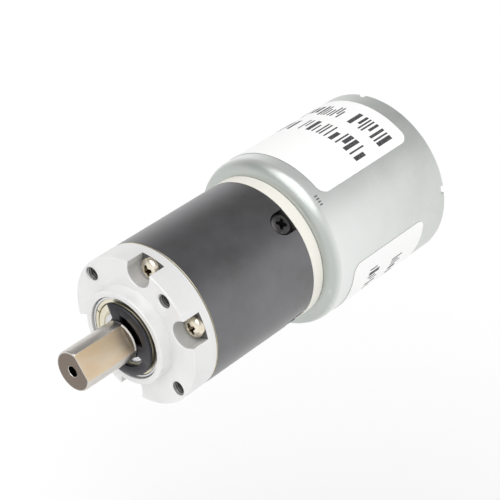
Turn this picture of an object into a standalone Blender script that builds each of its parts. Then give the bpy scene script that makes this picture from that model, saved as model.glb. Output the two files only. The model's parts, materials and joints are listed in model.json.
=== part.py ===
"""A 30 mm planetary gearbox on a brushed DC motor, as separate solids.

Units are metres. +X runs out of the output shaft, and x = 0 is the flange's
front face on the shaft's axis. +Z is up. Angles are measured about +X from +Y
towards +Z. The tapped holes of the flange lie at 45 degrees and every quarter
turn from there.
"""
import math

import bmesh
import bpy
from mathutils import Matrix, Vector

MM = 0.001
GAP = 0.25 * MM              # clearance between pieces that touch
SIDES = 40                   # facets round the large turned pieces
SMALL_SIDES = 12             # facets round screws, pins and bores
RACE_SIDES = 26              # facets round bearing rings and bushings

# Flange and gearbox tube
BODY_R = 15.0 * MM
FLANGE_BACK = -5.6 * MM
BOSS_R = 9.5 * MM
BOSS_FRONT = 2.8 * MM
SPIGOT_R = 10.9 * MM
SPIGOT_BACK = -9.8 * MM
TAP_ANGLES = [math.radians(45 + 90 * k) for k in range(4)]
TAP_PCD_R = 13.0 * MM
TAP_R = 1.35 * MM
POCKET_ANGLES = [math.radians(a) for a in (15, 75, 195, 255)]
POCKET_FLOOR = -3.9 * MM
POCKET_END_R = 13.5 * MM     # centre of the pocket's rounded inner end
POCKET_HALF_WIDTH = 2.7 * MM
SCREW_PCD_R = 12.9 * MM
SCREW_HEAD_R = 2.1 * MM
SCREW_HEAD_HEIGHT = 1.35 * MM
SCREW_SHANK_R = 0.95 * MM
SCREW_LENGTH = 6.5 * MM
SCREW_HOLE_END = -11.5 * MM  # how deep the flange's screw holes go into the tube
BEARING_STOP_X = (-4.25 * MM, -2.85 * MM)   # the flange's collar between its two bearings
BEARING_STOP_R = 7.2 * MM
TUBE_FRONT = -5.9 * MM
TUBE_BACK = -32.7 * MM
TUBE_REAR_BORE_R = 13.0 * MM
TEETH_FRONT, TEETH_BACK = -10.2 * MM, -27.2 * MM
HOUSING_SCREW_X = -30.5 * MM
HOUSING_SLOT_HALF_WIDTH = 2.3 * MM
HOUSING_SCREW_HEAD_R, HOUSING_SCREW_HEAD_HEIGHT = 2.05 * MM, 1.75 * MM
HOUSING_SCREW_LENGTH = 2.6 * MM

# Output shaft, its clip and its two bearings
SHAFT_TIP = 15.5 * MM
SHAFT_R = 3.95 * MM
FLAT_ANGLE = math.radians(30)
FLAT_FROM_AXIS = 3.0 * MM
FLAT_END = 4.0 * MM
CENTRE_HOLE_R, CENTRE_HOLE_DEPTH = 1.0 * MM, 3.0 * MM
SHAFT_SEAT_R = 2.9 * MM      # where the output carrier sits on the shaft
CLIP_GROOVE_R = 3.3 * MM
CLIP_X = (2.75 * MM, 3.45 * MM)
CLIP_R = 7.25 * MM
CLIP_MOUTH_ANGLE = math.radians(166)
BEARING_OUTER_R = 7.95 * MM
BEARING_WIDTH = 5.0 * MM
BEARING_FRONTS = {"front_bearing": 2.4 * MM, "rear_bearing": -4.5 * MM}
BALL_PITCH_R = 6.0 * MM
BALL_R = 0.95 * MM
BALL_COUNT = 9
SHIELD_RADII = (5.4 * MM, 6.65 * MM)
SHIELD_DEPTH, SHIELD_THICKNESS = 0.3 * MM, 0.25 * MM

# Planetary gears
MODULE = 0.5 * MM
PRESSURE_ANGLE = math.radians(25)
ADDENDUM, DEDENDUM = 0.40 * MM, 0.60 * MM
BACKLASH = 0.08 * MM
SUN_TEETH, PLANET_TEETH, RING_TEETH = 12, 15, 42
PLANET_PCD_R = MODULE * (SUN_TEETH + PLANET_TEETH) / 2
PLANET_WIDTH = 5.0 * MM
PLANET_TURNS = [math.radians(90 + 120 * k) for k in range(3)]
PIN_R = 1.2 * MM
CARRIER_R = 9.5 * MM
OUTPUT_CARRIER_X = (-12.6 * MM, -10.1 * MM)
FIRST_CARRIER_X = (-20.3 * MM, -18.2 * MM)
SECOND_PLANET_FRONT = -12.9 * MM
FIRST_PLANET_FRONT = -20.6 * MM
PINION_X = (-28.0 * MM, -20.7 * MM)
WASHER_X = (-26.5 * MM, -25.95 * MM)
WASHER_RADII = (4.3 * MM, 9.7 * MM)

# Motor
CAN_R = 17.6 * MM
CAN_WALL = 1.0 * MM
CAN_FRONT = -35.5 * MM
CAN_BACK = -70.2 * MM
CAN_SHOULDER_R = 2.6 * MM
MOTOR_BOSS_R = 5.0 * MM
MOTOR_BOSS_FRONT = -32.6 * MM
BUSHING_R = 3.85 * MM
FRONT_BUSHING_X = (-36.4 * MM, -33.7 * MM)
REAR_BUSHING_X = (-72.4 * MM, -68.6 * MM)
SHAFT_HOLE_R = 2.6 * MM      # hole for the rotor shaft in the can's boss
ADAPTER_FRONT = -27.5 * MM
ADAPTER_SPIGOT_R = 12.7 * MM
ADAPTER_RING_FRONT = -33.0 * MM
ADAPTER_BACK = -35.2 * MM
ADAPTER_SCREW_R = 8.0 * MM   # distance of the two motor screws from the axis
ADAPTER_SCREW_ANGLES = [0.0, math.pi]
ADAPTER_SCREW_SEAT = -31.6 * MM
ADAPTER_SCREW_HEAD_R, ADAPTER_SCREW_HEAD_HEIGHT = 2.6 * MM, 1.9 * MM
ADAPTER_SCREW_SHANK_R, ADAPTER_SCREW_LENGTH = 1.2 * MM, 6.5 * MM
ROTOR_SHAFT_X = (-72.4 * MM, -21.0 * MM)
ROTOR_SHAFT_R = 1.5 * MM
ROTOR_BORE_R = 1.75 * MM     # bore of what sits on, or carries, the rotor shaft
POLES = 5
CORE_R = 12.7 * MM
CORE_X = (-57.0 * MM, -43.0 * MM)
WINDING_OVERHANG = 2.6 * MM
COMMUTATOR_X = (-65.2 * MM, -60.2 * MM)
MAGNET_X = (-60.0 * MM, -40.5 * MM)
MAGNET_BORE_R, MAGNET_CLIP_BORE_R = 13.4 * MM, 15.7 * MM
MAGNET_HALF_ANGLE, MAGNET_CLIP_HALF_ANGLE = math.radians(64), math.radians(22)
CAP_FRONT, CAP_BACK, CAP_BOSS_BACK = -66.2 * MM, -69.3 * MM, -73.4 * MM
CRIMP_ANGLES = [math.radians(4 + 90 * k) for k in range(4)]
CRIMP_HALF_WIDTH, CRIMP_DEPTH = 0.85 * MM, 1.0 * MM
TERMINAL_ANGLES = [0.0, math.pi]
TERMINAL_R = 11.0 * MM
TERMINAL_X = (-76.5 * MM, -65.9 * MM)
TERMINAL_HALF_WIDTH, TERMINAL_HALF_THICKNESS, TERMINAL_EYE_R = 1.4 * MM, 0.25 * MM, 0.7 * MM
RATING_LABEL = ((-66.4 * MM, -40.1 * MM), (math.radians(45), math.radians(191)))
SIDE_LABEL = ((-63.2 * MM, -41.5 * MM), (math.radians(-67), math.radians(-7)))
LABEL_CORNER_R, LABEL_THICKNESS, LABEL_GAP = 2.0 * MM, 0.12 * MM, 0.2 * MM

PALETTE = {                  # base colour, metallic, roughness
    "satin_aluminium": ((0.78, 0.78, 0.78), 1.0, 0.35),
    "black_anodised": ((0.035, 0.035, 0.04), 0.6, 0.38),
    "zinc_plated_steel": ((0.62, 0.66, 0.63), 0.9, 0.42),
    "cream_plastic": ((0.86, 0.84, 0.77), 0.0, 0.5),
    "ground_steel": ((0.60, 0.55, 0.50), 1.0, 0.32),
    "bearing_steel": ((0.70, 0.70, 0.71), 1.0, 0.2),
    "shield_metal": ((0.80, 0.76, 0.62), 1.0, 0.35),
    "black_spring_steel": ((0.03, 0.03, 0.035), 0.7, 0.4),
    "nickel_screw": ((0.80, 0.76, 0.68), 1.0, 0.22),
    "black_screw": ((0.05, 0.05, 0.055), 0.8, 0.35),
    "gear_steel": ((0.45, 0.45, 0.46), 1.0, 0.4),
    "bronze": ((0.62, 0.42, 0.22), 1.0, 0.5),
    "brass": ((0.78, 0.62, 0.30), 1.0, 0.3),
    "copper": ((0.72, 0.36, 0.20), 1.0, 0.35),
    "carbon": ((0.06, 0.06, 0.06), 0.1, 0.7),
    "ferrite": ((0.10, 0.10, 0.11), 0.0, 0.75),
    "lamination_steel": ((0.38, 0.38, 0.40), 0.9, 0.45),
    "black_nylon": ((0.04, 0.04, 0.042), 0.0, 0.55),
    "label_paper": ((0.90, 0.90, 0.89), 0.0, 0.6),
}


# ---------------------------------------------------------------- mesh helpers

def material(name):
    """The material of this name, made from the palette the first time."""
    found = bpy.data.materials.get(name)
    if found:
        return found
    colour, metallic, roughness = PALETTE[name]
    made = bpy.data.materials.new(name)
    made.use_nodes = True
    shader = made.node_tree.nodes["Principled BSDF"]
    shader.inputs["Base Color"].default_value = (*colour, 1.0)
    shader.inputs["Metallic"].default_value = metallic
    shader.inputs["Roughness"].default_value = roughness
    made.diffuse_color = (*colour, 1.0)
    return made


def add(name, bm, finish, place=None):
    """Turn a bmesh into a named object with its material."""
    bmesh.ops.recalc_face_normals(bm, faces=bm.faces)
    mesh = bpy.data.meshes.new(name)
    bm.to_mesh(mesh)
    bm.free()
    mesh.materials.append(material(finish))
    mesh.shade_smooth()
    mesh.set_sharp_from_angle(angle=math.radians(35))
    made = bpy.data.objects.new(name, mesh)
    if place is not None:
        made.matrix_world = place
    bpy.context.scene.collection.objects.link(made)
    return made


def polar(radius, angle):
    return radius * math.cos(angle), radius * math.sin(angle)


def arc(radius, start, end, steps):
    """Points along an arc about the axis, both ends included."""
    return [polar(radius, start + (end - start) * k / steps) for k in range(steps + 1)]


def circle(radius, sides=SIDES, centre=(0.0, 0.0)):
    """Points round a circle, starting half a step on, so that none lies on a cutter's plane."""
    turns = [2 * math.pi * (k + 0.5) / sides for k in range(sides)]
    return [(centre[0] + radius * math.cos(a), centre[1] + radius * math.sin(a)) for a in turns]


def turned(profile, sides=SIDES):
    """A solid of revolution about X from a closed profile of (x, radius)."""
    bm = bmesh.new()
    rings = []
    for x, radius in profile:
        points = circle(radius, sides) if radius else [(0.0, 0.0)]
        rings.append([bm.verts.new((x, y, z)) for y, z in points])
    for ring, following in zip(rings, rings[1:] + rings[:1]):
        if len(ring) == len(following) == 1:
            continue
        for k in range(sides):
            corners = [ring[k % len(ring)], ring[(k + 1) % sides % len(ring)],
                       following[(k + 1) % sides % len(following)], following[k % len(following)]]
            bm.faces.new(list(dict.fromkeys(corners)))
    return bm


def prism(outline, x_low, x_high, holes=()):
    """A plate between two x values, with an outline and holes of (y, z) points."""
    bm = bmesh.new()
    caps = []
    for x in (x_low, x_high):
        loops, edges = [], []
        for points in (outline, *holes):
            loop = [bm.verts.new((x, y, z)) for y, z in points]
            edges += [bm.edges.new(pair) for pair in zip(loop, loop[1:] + loop[:1])]
            loops.append(loop)
        bmesh.ops.triangle_fill(bm, use_beauty=True, use_dissolve=False, edges=edges)
        caps.append(loops)
    for low, high in zip(*caps):
        following = zip(low[1:] + low[:1], high[1:] + high[:1])
        for (a, b), (c, d) in zip(zip(low, high), following):
            bm.faces.new((a, c, d, b))
    return bm


def disc(radius, x_low, x_high, sides=SIDES, centre=(0.0, 0.0), holes=()):
    return prism(circle(radius, sides, centre), x_low, x_high, holes)


def box(low, high):
    bm = bmesh.new()
    bmesh.ops.create_cube(bm, size=1.0)
    for vert in bm.verts:
        vert.co = Vector([a + (b - a) * (c + 0.5) for a, b, c in zip(low, high, vert.co)])
    return bm


def gathered(shapes):
    """Several shapes that stand clear of each other, as one mesh."""
    whole = bmesh.new()
    for shape, place in shapes:
        mesh = bpy.data.meshes.new("part_of_tool")
        shape.to_mesh(mesh)
        shape.free()
        mesh.transform(place)
        whole.from_mesh(mesh)
        bpy.data.meshes.remove(mesh)
    return whole


def modify(target, bm, operation, place=None):
    """Cut a shape from an object, or join it on, with a Boolean modifier."""
    tool = add(f"cutter_{len(bpy.data.objects)}", bm, "gear_steel", place)
    tool.hide_render = True
    tool.display_type = "WIRE"
    step = target.modifiers.new(operation.title(), "BOOLEAN")
    step.operation = operation
    step.solver = "EXACT"
    step.object = tool
    return target


def cut(target, bm, place=None):
    return modify(target, bm, "DIFFERENCE", place)


def join(target, bm, place=None):
    return modify(target, bm, "UNION", place)


def about_axis(angle):
    return Matrix.Rotation(angle, 4, "X")


def radial_frame(angle, x):
    """A place whose local X points outward at this angle, at this x."""
    return about_axis(angle) @ Matrix.Translation((x, 0, 0)) @ Matrix.Rotation(math.pi / 2, 4, "Z")


# ------------------------------------------------------------------ gear teeth

def involute(angle):
    return math.tan(angle) - angle


def toothed(teeth, inner, outer, thicken, turn=0.0):
    """An outline of involute teeth between two radii, the first centred at `turn`."""
    pitch_r = MODULE * teeth / 2
    base_r = pitch_r * math.cos(PRESSURE_ANGLE)
    pitch_half = math.pi / (2 * teeth) + thicken / (2 * pitch_r)

    def half_angle(radius):
        slope = math.acos(min(1.0, base_r / radius))
        return pitch_half + involute(PRESSURE_ANGLE) - involute(slope)

    radii = [inner, max(base_r, (inner + outer) / 2), outer]
    points = []
    for k in range(teeth):
        centre = turn + 2 * math.pi * k / teeth
        points += [polar(r, centre - half_angle(r)) for r in radii]
        points += [polar(r, centre + half_angle(r)) for r in reversed(radii)]
    return points


def external_gear(teeth, turn):
    pitch_r = MODULE * teeth / 2
    return toothed(teeth, pitch_r - DEDENDUM, pitch_r + ADDENDUM, -BACKLASH, turn)


# -------------------------------------------------------------------- fasteners

def screw(name, finish, head_r, head_height, shank_r, length, place):
    """A pan-head screw along local X: head above x = 0, shank below, cross recess."""
    profile = [(-length, 0), (-length, shank_r), (0, shank_r), (0, head_r),
               (0.65 * head_height, head_r), (head_height, 0.6 * head_r), (head_height, 0)]
    made = add(name, turned(profile, SMALL_SIDES), finish, place)
    arm, half, depth = 0.55 * head_r, 0.13 * head_r, 0.6 * head_height
    cross = [(half, arm), (-half, arm), (-half, half), (-arm, half), (-arm, -half), (-half, -half),
             (-half, -arm), (half, -arm), (half, -half), (arm, -half), (arm, half), (half, half)]
    return cut(made, prism(cross, head_height - depth, head_height + MM), place)


# ---------------------------------------------------------------- output flange

def pocket_outline():
    """The outline of a screw pocket at angle 0: a slot with a round inner end, open outward."""
    half, end = POCKET_HALF_WIDTH, POCKET_END_R
    points = [(end + half * math.cos(a), half * math.sin(a))
              for a in [math.pi * (0.5 + k / 8) for k in range(9)]]
    return points + [(BODY_R + 2 * MM, -half), (BODY_R + 2 * MM, half)]


def build_flange():
    recess = BEARING_OUTER_R + GAP
    profile = [
        (0, BODY_R - 0.2 * MM), (-0.2 * MM, BODY_R), (FLANGE_BACK, BODY_R),
        (FLANGE_BACK, SPIGOT_R), (SPIGOT_BACK, SPIGOT_R), (SPIGOT_BACK, recess),
        (BEARING_STOP_X[0], recess), (BEARING_STOP_X[0], BEARING_STOP_R),
        (BEARING_STOP_X[1], BEARING_STOP_R), (BEARING_STOP_X[1], recess), (BOSS_FRONT, recess),
        (BOSS_FRONT, BOSS_R - 0.3 * MM), (BOSS_FRONT - 0.3 * MM, BOSS_R), (0, BOSS_R)]
    flange = add("front_flange", turned(profile), "satin_aluminium")
    pocket = prism(pocket_outline(), POCKET_FLOOR, 1 * MM)
    tap = disc(TAP_R, 2 * FLANGE_BACK, 1 * MM, SMALL_SIDES, (TAP_PCD_R, 0))
    hole = disc(SCREW_SHANK_R + GAP, 2 * FLANGE_BACK, POCKET_FLOOR + MM, SMALL_SIDES, (SCREW_PCD_R, 0))
    pockets = [(pocket.copy(), about_axis(angle)) for angle in POCKET_ANGLES]
    taps = [(tap.copy(), about_axis(angle)) for angle in TAP_ANGLES]
    cut(flange, gathered(pockets + taps))
    cut(flange, gathered([(hole.copy(), about_axis(angle)) for angle in POCKET_ANGLES]))
    for k, angle in enumerate(POCKET_ANGLES, 1):
        seat = Matrix.Translation((POCKET_FLOOR + GAP, *polar(SCREW_PCD_R, angle)))
        screw(f"flange_screw_{k}", "nickel_screw", SCREW_HEAD_R, SCREW_HEAD_HEIGHT,
              SCREW_SHANK_R, SCREW_LENGTH, seat @ about_axis(angle + 0.5 * k))


# ------------------------------------------------- output shaft, clip, bearings

def build_output_shaft():
    chamfer, groove_gap = 0.5 * MM, 0.2 * MM
    seat_back, hole_back = OUTPUT_CARRIER_X[0] + 0.2 * MM, SHAFT_TIP - CENTRE_HOLE_DEPTH
    profile = [
        (hole_back - CENTRE_HOLE_R, 0), (hole_back, CENTRE_HOLE_R), (SHAFT_TIP, CENTRE_HOLE_R),
        (SHAFT_TIP, SHAFT_R - chamfer), (SHAFT_TIP - chamfer, SHAFT_R),
        (CLIP_X[1] + groove_gap, SHAFT_R), (CLIP_X[1] + groove_gap, CLIP_GROOVE_R),
        (CLIP_X[0] - groove_gap, CLIP_GROOVE_R), (CLIP_X[0] - groove_gap, SHAFT_R),
        (SPIGOT_BACK, SHAFT_R), (SPIGOT_BACK, SHAFT_SEAT_R), (seat_back, SHAFT_SEAT_R), (seat_back, 0)]
    shaft = add("output_shaft", turned(profile, RACE_SIDES), "ground_steel")
    flat = box((FLAT_END, FLAT_FROM_AXIS, -2 * SHAFT_R), (SHAFT_TIP + MM, 2 * SHAFT_R, 2 * SHAFT_R))
    cut(shaft, flat, about_axis(FLAT_ANGLE))


def clip_outline():
    """An E-shaped clip: a band with a mouth, two end lugs and a middle lug."""
    lug_r, window_r = 3.6 * MM, 5.5 * MM
    mouth, lug_end, middle = math.radians(58), math.radians(84), math.radians(164)
    start = CLIP_MOUTH_ANGLE
    full = 2 * math.pi
    points = arc(CLIP_R, start + mouth, start + full - mouth, 28)
    points += arc(lug_r, start + full - mouth, start + full - lug_end, 3)
    points += arc(window_r, start + full - lug_end, start + full - middle, 8)
    points += arc(lug_r, start + full - middle, start + middle, 4)
    points += arc(window_r, start + middle, start + lug_end, 8)
    points += arc(lug_r, start + lug_end, start + mouth, 3)
    return points


def build_bearing(prefix, front):
    """A shielded ball bearing: two grooved rings and a cage full of balls."""
    back, middle, groove = front - BEARING_WIDTH, front - BEARING_WIDTH / 2, 0.9 * MM
    outer_land, outer_race = 6.9 * MM, 7.25 * MM
    inner_bore, inner_land, inner_race = SHAFT_R + GAP, 5.1 * MM, 4.75 * MM
    outer = [(front - 0.3 * MM, BEARING_OUTER_R), (back, BEARING_OUTER_R), (back, outer_land),
             (middle - groove, outer_land), (middle, outer_race), (middle + groove, outer_land),
             (front, outer_land), (front, BEARING_OUTER_R - 0.3 * MM)]
    inner = [(front, inner_bore), (back, inner_bore), (back, inner_land),
             (middle - groove, inner_land), (middle, inner_race), (middle + groove, inner_land),
             (front, inner_land)]
    add(f"{prefix}_outer_ring", turned(outer, RACE_SIDES), "bearing_steel")
    add(f"{prefix}_inner_ring", turned(inner, RACE_SIDES), "bearing_steel")
    cage = add(f"{prefix}_ball_cage", disc(6.3 * MM, middle - 0.4 * MM, middle + 0.4 * MM, 18,
                                           holes=[circle(5.7 * MM, 18)]), "brass")
    balls = bmesh.new()
    for k in range(BALL_COUNT):
        centre = polar(BALL_PITCH_R, 2 * math.pi * k / BALL_COUNT)
        bmesh.ops.create_uvsphere(balls, u_segments=6, v_segments=4, radius=BALL_R,
                                  matrix=Matrix.Translation((middle, *centre)))
    join(cage, balls)


def build_output_group():
    build_output_shaft()
    add("shaft_retaining_clip", prism(clip_outline(), *CLIP_X), "black_spring_steel")
    for prefix, front in BEARING_FRONTS.items():
        build_bearing(prefix, front)
    front = BEARING_FRONTS["front_bearing"] - SHIELD_DEPTH
    bore, outside = SHIELD_RADII
    add("front_bearing_shield", disc(outside, front - SHIELD_THICKNESS, front, holes=[circle(bore)]),
        "shield_metal")


# ------------------------------------------------------------------------ gears

def build_carrier(name, x_range, bore_r):
    pin_holes = [circle(PIN_R + GAP, SMALL_SIDES, polar(PLANET_PCD_R, a)) for a in PLANET_TURNS]
    holes = pin_holes + ([circle(bore_r, SMALL_SIDES)] if bore_r else [])
    return add(name, disc(CARRIER_R, *x_range, holes=holes), "gear_steel")


def build_stage(prefix, front, pin_front):
    """Three planets and their pins. Each planet has a tooth pointing outward."""
    back = front - PLANET_WIDTH
    for k, angle in enumerate(PLANET_TURNS, 1):
        centre = polar(PLANET_PCD_R, angle)
        planet = prism(external_gear(PLANET_TEETH, angle), back, front,
                       [circle(PIN_R + GAP, SMALL_SIDES)])
        place = Matrix.Translation((0, *centre))
        add(f"{prefix}_planet_{k}", planet, "gear_steel", place)
        add(f"{prefix}_pin_{k}", disc(PIN_R, back, pin_front, SMALL_SIDES), "bearing_steel", place)


def build_gears():
    build_carrier("output_carrier", OUTPUT_CARRIER_X, SHAFT_SEAT_R + GAP)
    build_stage("second_stage", SECOND_PLANET_FRONT, OUTPUT_CARRIER_X[1] - GAP)
    first_carrier = build_carrier("first_stage_carrier", FIRST_CARRIER_X, None)
    sun = external_gear(SUN_TEETH, PLANET_TURNS[0])
    join(first_carrier, prism(sun, FIRST_CARRIER_X[1] - 1 * MM, SECOND_PLANET_FRONT))
    build_stage("first_stage", FIRST_PLANET_FRONT, FIRST_CARRIER_X[1] - GAP)
    pinion = prism(sun, *PINION_X, [circle(ROTOR_BORE_R, SMALL_SIDES)])
    add("sun_pinion", pinion, "gear_steel")
    bore, outside = WASHER_RADII
    add("planet_thrust_washer", disc(outside, *WASHER_X, holes=[circle(bore)]), "bronze")


# --------------------------------------------------------- gearbox tube, adapter

def build_tube():
    """The ring gear's tube: internal teeth, tapped front face, slots at the back."""
    profile = [(TUBE_FRONT, 0), (TUBE_FRONT, BODY_R), (TUBE_BACK, BODY_R), (TUBE_BACK, 0)]
    tube = add("ring_gear_housing", turned(profile), "black_anodised")
    pitch_r = MODULE * RING_TEETH / 2
    gaps = toothed(RING_TEETH, pitch_r - ADDENDUM, pitch_r + DEDENDUM, BACKLASH, PLANET_TURNS[0])
    cut(tube, prism(gaps, TUBE_BACK - MM, TUBE_FRONT + MM))
    cut(tube, disc(SPIGOT_R + GAP, TEETH_FRONT, TUBE_FRONT + MM))
    cut(tube, disc(TUBE_REAR_BORE_R, TUBE_BACK - MM, TEETH_BACK))
    for angle in POCKET_ANGLES:
        hole = disc(SCREW_SHANK_R + GAP, SCREW_HOLE_END, TUBE_FRONT + MM, SMALL_SIDES,
                    polar(SCREW_PCD_R, angle))
        cut(tube, hole)
    for angle in TAP_ANGLES:
        cut(tube, housing_slot(), radial_frame(angle, HOUSING_SCREW_X))


def housing_slot():
    """A slot through the wall, round at the front and open at the tube's back."""
    half, reach = HOUSING_SLOT_HALF_WIDTH, HOUSING_SCREW_X - TUBE_BACK + 1 * MM
    points = [(half * math.cos(a), half * math.sin(a))
              for a in [math.pi * (0.5 + k / 8) for k in range(9)]]
    points += [(reach, -half), (reach, half)]
    return prism(points, TUBE_REAR_BORE_R - 1.2 * MM, BODY_R + 2 * MM)


def build_adapter():
    """The plate between tube and motor, with room for the pinion and two screws."""
    recess_floor, recess_r, pinion_hole_r = -29.0 * MM, 9.9 * MM, 4.0 * MM
    boss_room_front = MOTOR_BOSS_FRONT + 0.4 * MM
    profile = [
        (ADAPTER_FRONT, ADAPTER_SPIGOT_R), (ADAPTER_RING_FRONT, ADAPTER_SPIGOT_R),
        (ADAPTER_RING_FRONT, BODY_R), (ADAPTER_BACK, BODY_R),
        (ADAPTER_BACK, MOTOR_BOSS_R + GAP), (boss_room_front, MOTOR_BOSS_R + GAP),
        (boss_room_front, pinion_hole_r), (recess_floor, pinion_hole_r),
        (recess_floor, recess_r), (ADAPTER_FRONT, recess_r)]
    adapter = add("adapter_plate", turned(profile), "cream_plastic")
    build_adapter_screws(adapter)
    build_housing_screws(adapter)


def build_adapter_screws(adapter):
    """The two screws that hold the adapter plate to the motor, in counterbored holes."""
    head_room, hole_r = ADAPTER_SCREW_HEAD_R + GAP, ADAPTER_SCREW_SHANK_R + 0.3 * MM
    ahead, behind, seat = ADAPTER_FRONT + 1.5 * MM, ADAPTER_BACK - 0.8 * MM, ADAPTER_SCREW_SEAT
    stepped = [(ahead, 0), (ahead, head_room), (seat, head_room), (seat, hole_r), (behind, hole_r),
               (behind, 0)]
    for k, angle in enumerate(ADAPTER_SCREW_ANGLES, 1):
        centre = polar(ADAPTER_SCREW_R, angle)
        cut(adapter, turned(stepped, SMALL_SIDES), Matrix.Translation((0, *centre)))
        screw(f"adapter_screw_{k}", "nickel_screw", ADAPTER_SCREW_HEAD_R, ADAPTER_SCREW_HEAD_HEIGHT,
              ADAPTER_SCREW_SHANK_R, ADAPTER_SCREW_LENGTH, Matrix.Translation((seat + GAP, *centre)))


def build_housing_screws(adapter):
    """The four screws in the tube's slots, set radially into the adapter plate."""
    head_base = ADAPTER_SPIGOT_R + GAP
    hole = (head_base - HOUSING_SCREW_LENGTH - 0.5 * MM, ADAPTER_SPIGOT_R + 1.3 * MM)
    for k, angle in enumerate(TAP_ANGLES, 1):
        frame = radial_frame(angle, HOUSING_SCREW_X)
        cut(adapter, disc(SCREW_SHANK_R + GAP, *hole, SMALL_SIDES), frame)
        screw(f"housing_screw_{k}", "black_screw", HOUSING_SCREW_HEAD_R, HOUSING_SCREW_HEAD_HEIGHT,
              SCREW_SHANK_R, HOUSING_SCREW_LENGTH,
              frame @ Matrix.Translation((head_base, 0, 0)) @ about_axis(0.3 * k))


# ------------------------------------------------------------------------ motor

def shoulder(centre_x, centre_r, radius, steps=3):
    """A quarter round from a flat front to a cylinder, in (x, radius) points."""
    quarter = math.pi / 2
    return [(centre_x + radius * math.cos(quarter * k / steps),
             centre_r + radius * math.sin(quarter * k / steps)) for k in range(steps + 1)]


def build_can():
    """The drawn steel can, with a round shoulder and a boss for the front bushing."""
    flat_r, boss_bore = CAN_R - CAN_SHOULDER_R, BUSHING_R + GAP
    outside = shoulder(CAN_FRONT - CAN_SHOULDER_R, flat_r, CAN_SHOULDER_R)
    inside = shoulder(CAN_FRONT - CAN_SHOULDER_R, flat_r, CAN_SHOULDER_R - CAN_WALL)
    boss_wall_back = MOTOR_BOSS_FRONT - 0.8 * MM
    profile = [(MOTOR_BOSS_FRONT, SHAFT_HOLE_R), (MOTOR_BOSS_FRONT, MOTOR_BOSS_R),
               (CAN_FRONT, MOTOR_BOSS_R)]
    profile += outside + [(CAN_BACK, CAN_R), (CAN_BACK, CAN_R - CAN_WALL)] + inside[::-1]
    profile += [(CAN_FRONT - CAN_WALL, boss_bore), (boss_wall_back, boss_bore),
                (boss_wall_back, SHAFT_HOLE_R)]
    can = add("motor_can", turned(profile), "zinc_plated_steel")
    for angle in ADAPTER_SCREW_ANGLES:
        cut(can, disc(ADAPTER_SCREW_SHANK_R + GAP, CAN_FRONT - 2 * MM, CAN_FRONT + MM, SMALL_SIDES,
                      polar(ADAPTER_SCREW_R, angle)))
    for angle in CRIMP_ANGLES:
        notch = box((CAN_BACK - MM, CAN_R - 2 * CAN_WALL, -CRIMP_HALF_WIDTH),
                    (CAN_BACK + CRIMP_DEPTH, CAN_R + MM, CRIMP_HALF_WIDTH))
        cut(can, notch, about_axis(angle))


def arc_plate(inner, outer, centre, half, x_range, steps):
    outline = arc(outer, centre - half, centre + half, steps)
    outline += arc(inner, centre + half, centre - half, steps)
    return prism(outline, *x_range)


def build_stator():
    bore = CAN_R - CAN_WALL - GAP
    for k, angle in enumerate((math.pi / 2, -math.pi / 2), 1):
        magnet = arc_plate(MAGNET_BORE_R, bore, angle, MAGNET_HALF_ANGLE, MAGNET_X, 20)
        add(f"motor_magnet_{k}", magnet, "ferrite")
    for k, angle in enumerate((0.0, math.pi), 1):
        clip = arc_plate(MAGNET_CLIP_BORE_R, bore, angle, MAGNET_CLIP_HALF_ANGLE, MAGNET_X, 8)
        add(f"magnet_clip_{k}", clip, "zinc_plated_steel")


def bushing(x_range):
    return disc(BUSHING_R, *x_range, RACE_SIDES, holes=[circle(ROTOR_BORE_R, SMALL_SIDES)])


def core_outline():
    """Five T-shaped poles on a hub."""
    hub_r, neck_r, half_neck, half_shoe = 5.0 * MM, 10.9 * MM, 1.5 * MM, math.radians(30)
    points = []
    for k in range(POLES):
        centre = 2 * math.pi * k / POLES
        half_hub, half_top = math.asin(half_neck / hub_r), math.asin(half_neck / neck_r)
        points += [polar(hub_r, centre - half_hub), polar(neck_r, centre - half_top)]
        points += arc(CORE_R, centre - half_shoe, centre + half_shoe, 6)
        points += [polar(neck_r, centre + half_top), polar(hub_r, centre + half_hub)]
    return points


def slot_outline(k):
    """The copper that fills the slot after pole k, clear of both poles."""
    centre = 2 * math.pi * (k + 0.5) / POLES
    inner_r, outer_r, edge = 5.5 * MM, 9.9 * MM, 1.5 * MM + 2 * GAP
    half = math.pi / POLES
    inner_half = half - math.asin(edge / inner_r)
    outer_half = half - math.asin(edge / outer_r)
    return (arc(outer_r, centre - outer_half, centre + outer_half, 4)
            + arc(inner_r, centre + inner_half, centre - inner_half, 2))


def build_windings():
    """One copper body: an end ring before and behind the core, joined through the slots."""
    back, front = CORE_X
    ends = [(front + GAP, front + WINDING_OVERHANG), (back - WINDING_OVERHANG, back - GAP)]
    profile = [(0, 3.2 * MM), (0, 9.0 * MM), (0.4, 10.3 * MM), (0.8, 9.6 * MM), (1, 7.5 * MM),
               (1, 3.2 * MM)]
    low, high = ends[0]
    front_ring = [(low + (high - low) * t, r) for t, r in profile]
    low, high = ends[1]
    rear_ring = [(high + (low - high) * t, r) for t, r in profile]
    windings = add("armature_windings", turned(front_ring, 20), "copper")
    for k in range(POLES):
        join(windings, prism(slot_outline(k), back - 1 * MM, front + 1 * MM))
    join(windings, turned(rear_ring, 20))


def commutator_outline():
    """A ring of copper bars with a narrow slot between neighbours."""
    outer, floor, half_slot = 4.2 * MM, 3.5 * MM, 0.2 * MM
    points = []
    for k in range(POLES):
        start, end = 2 * math.pi * k / POLES, 2 * math.pi * (k + 1) / POLES
        points.append(polar(floor, start + half_slot / floor))
        points += arc(outer, start + half_slot / outer, end - half_slot / outer, 5)
        points.append(polar(floor, end - half_slot / floor))
    return points


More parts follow.
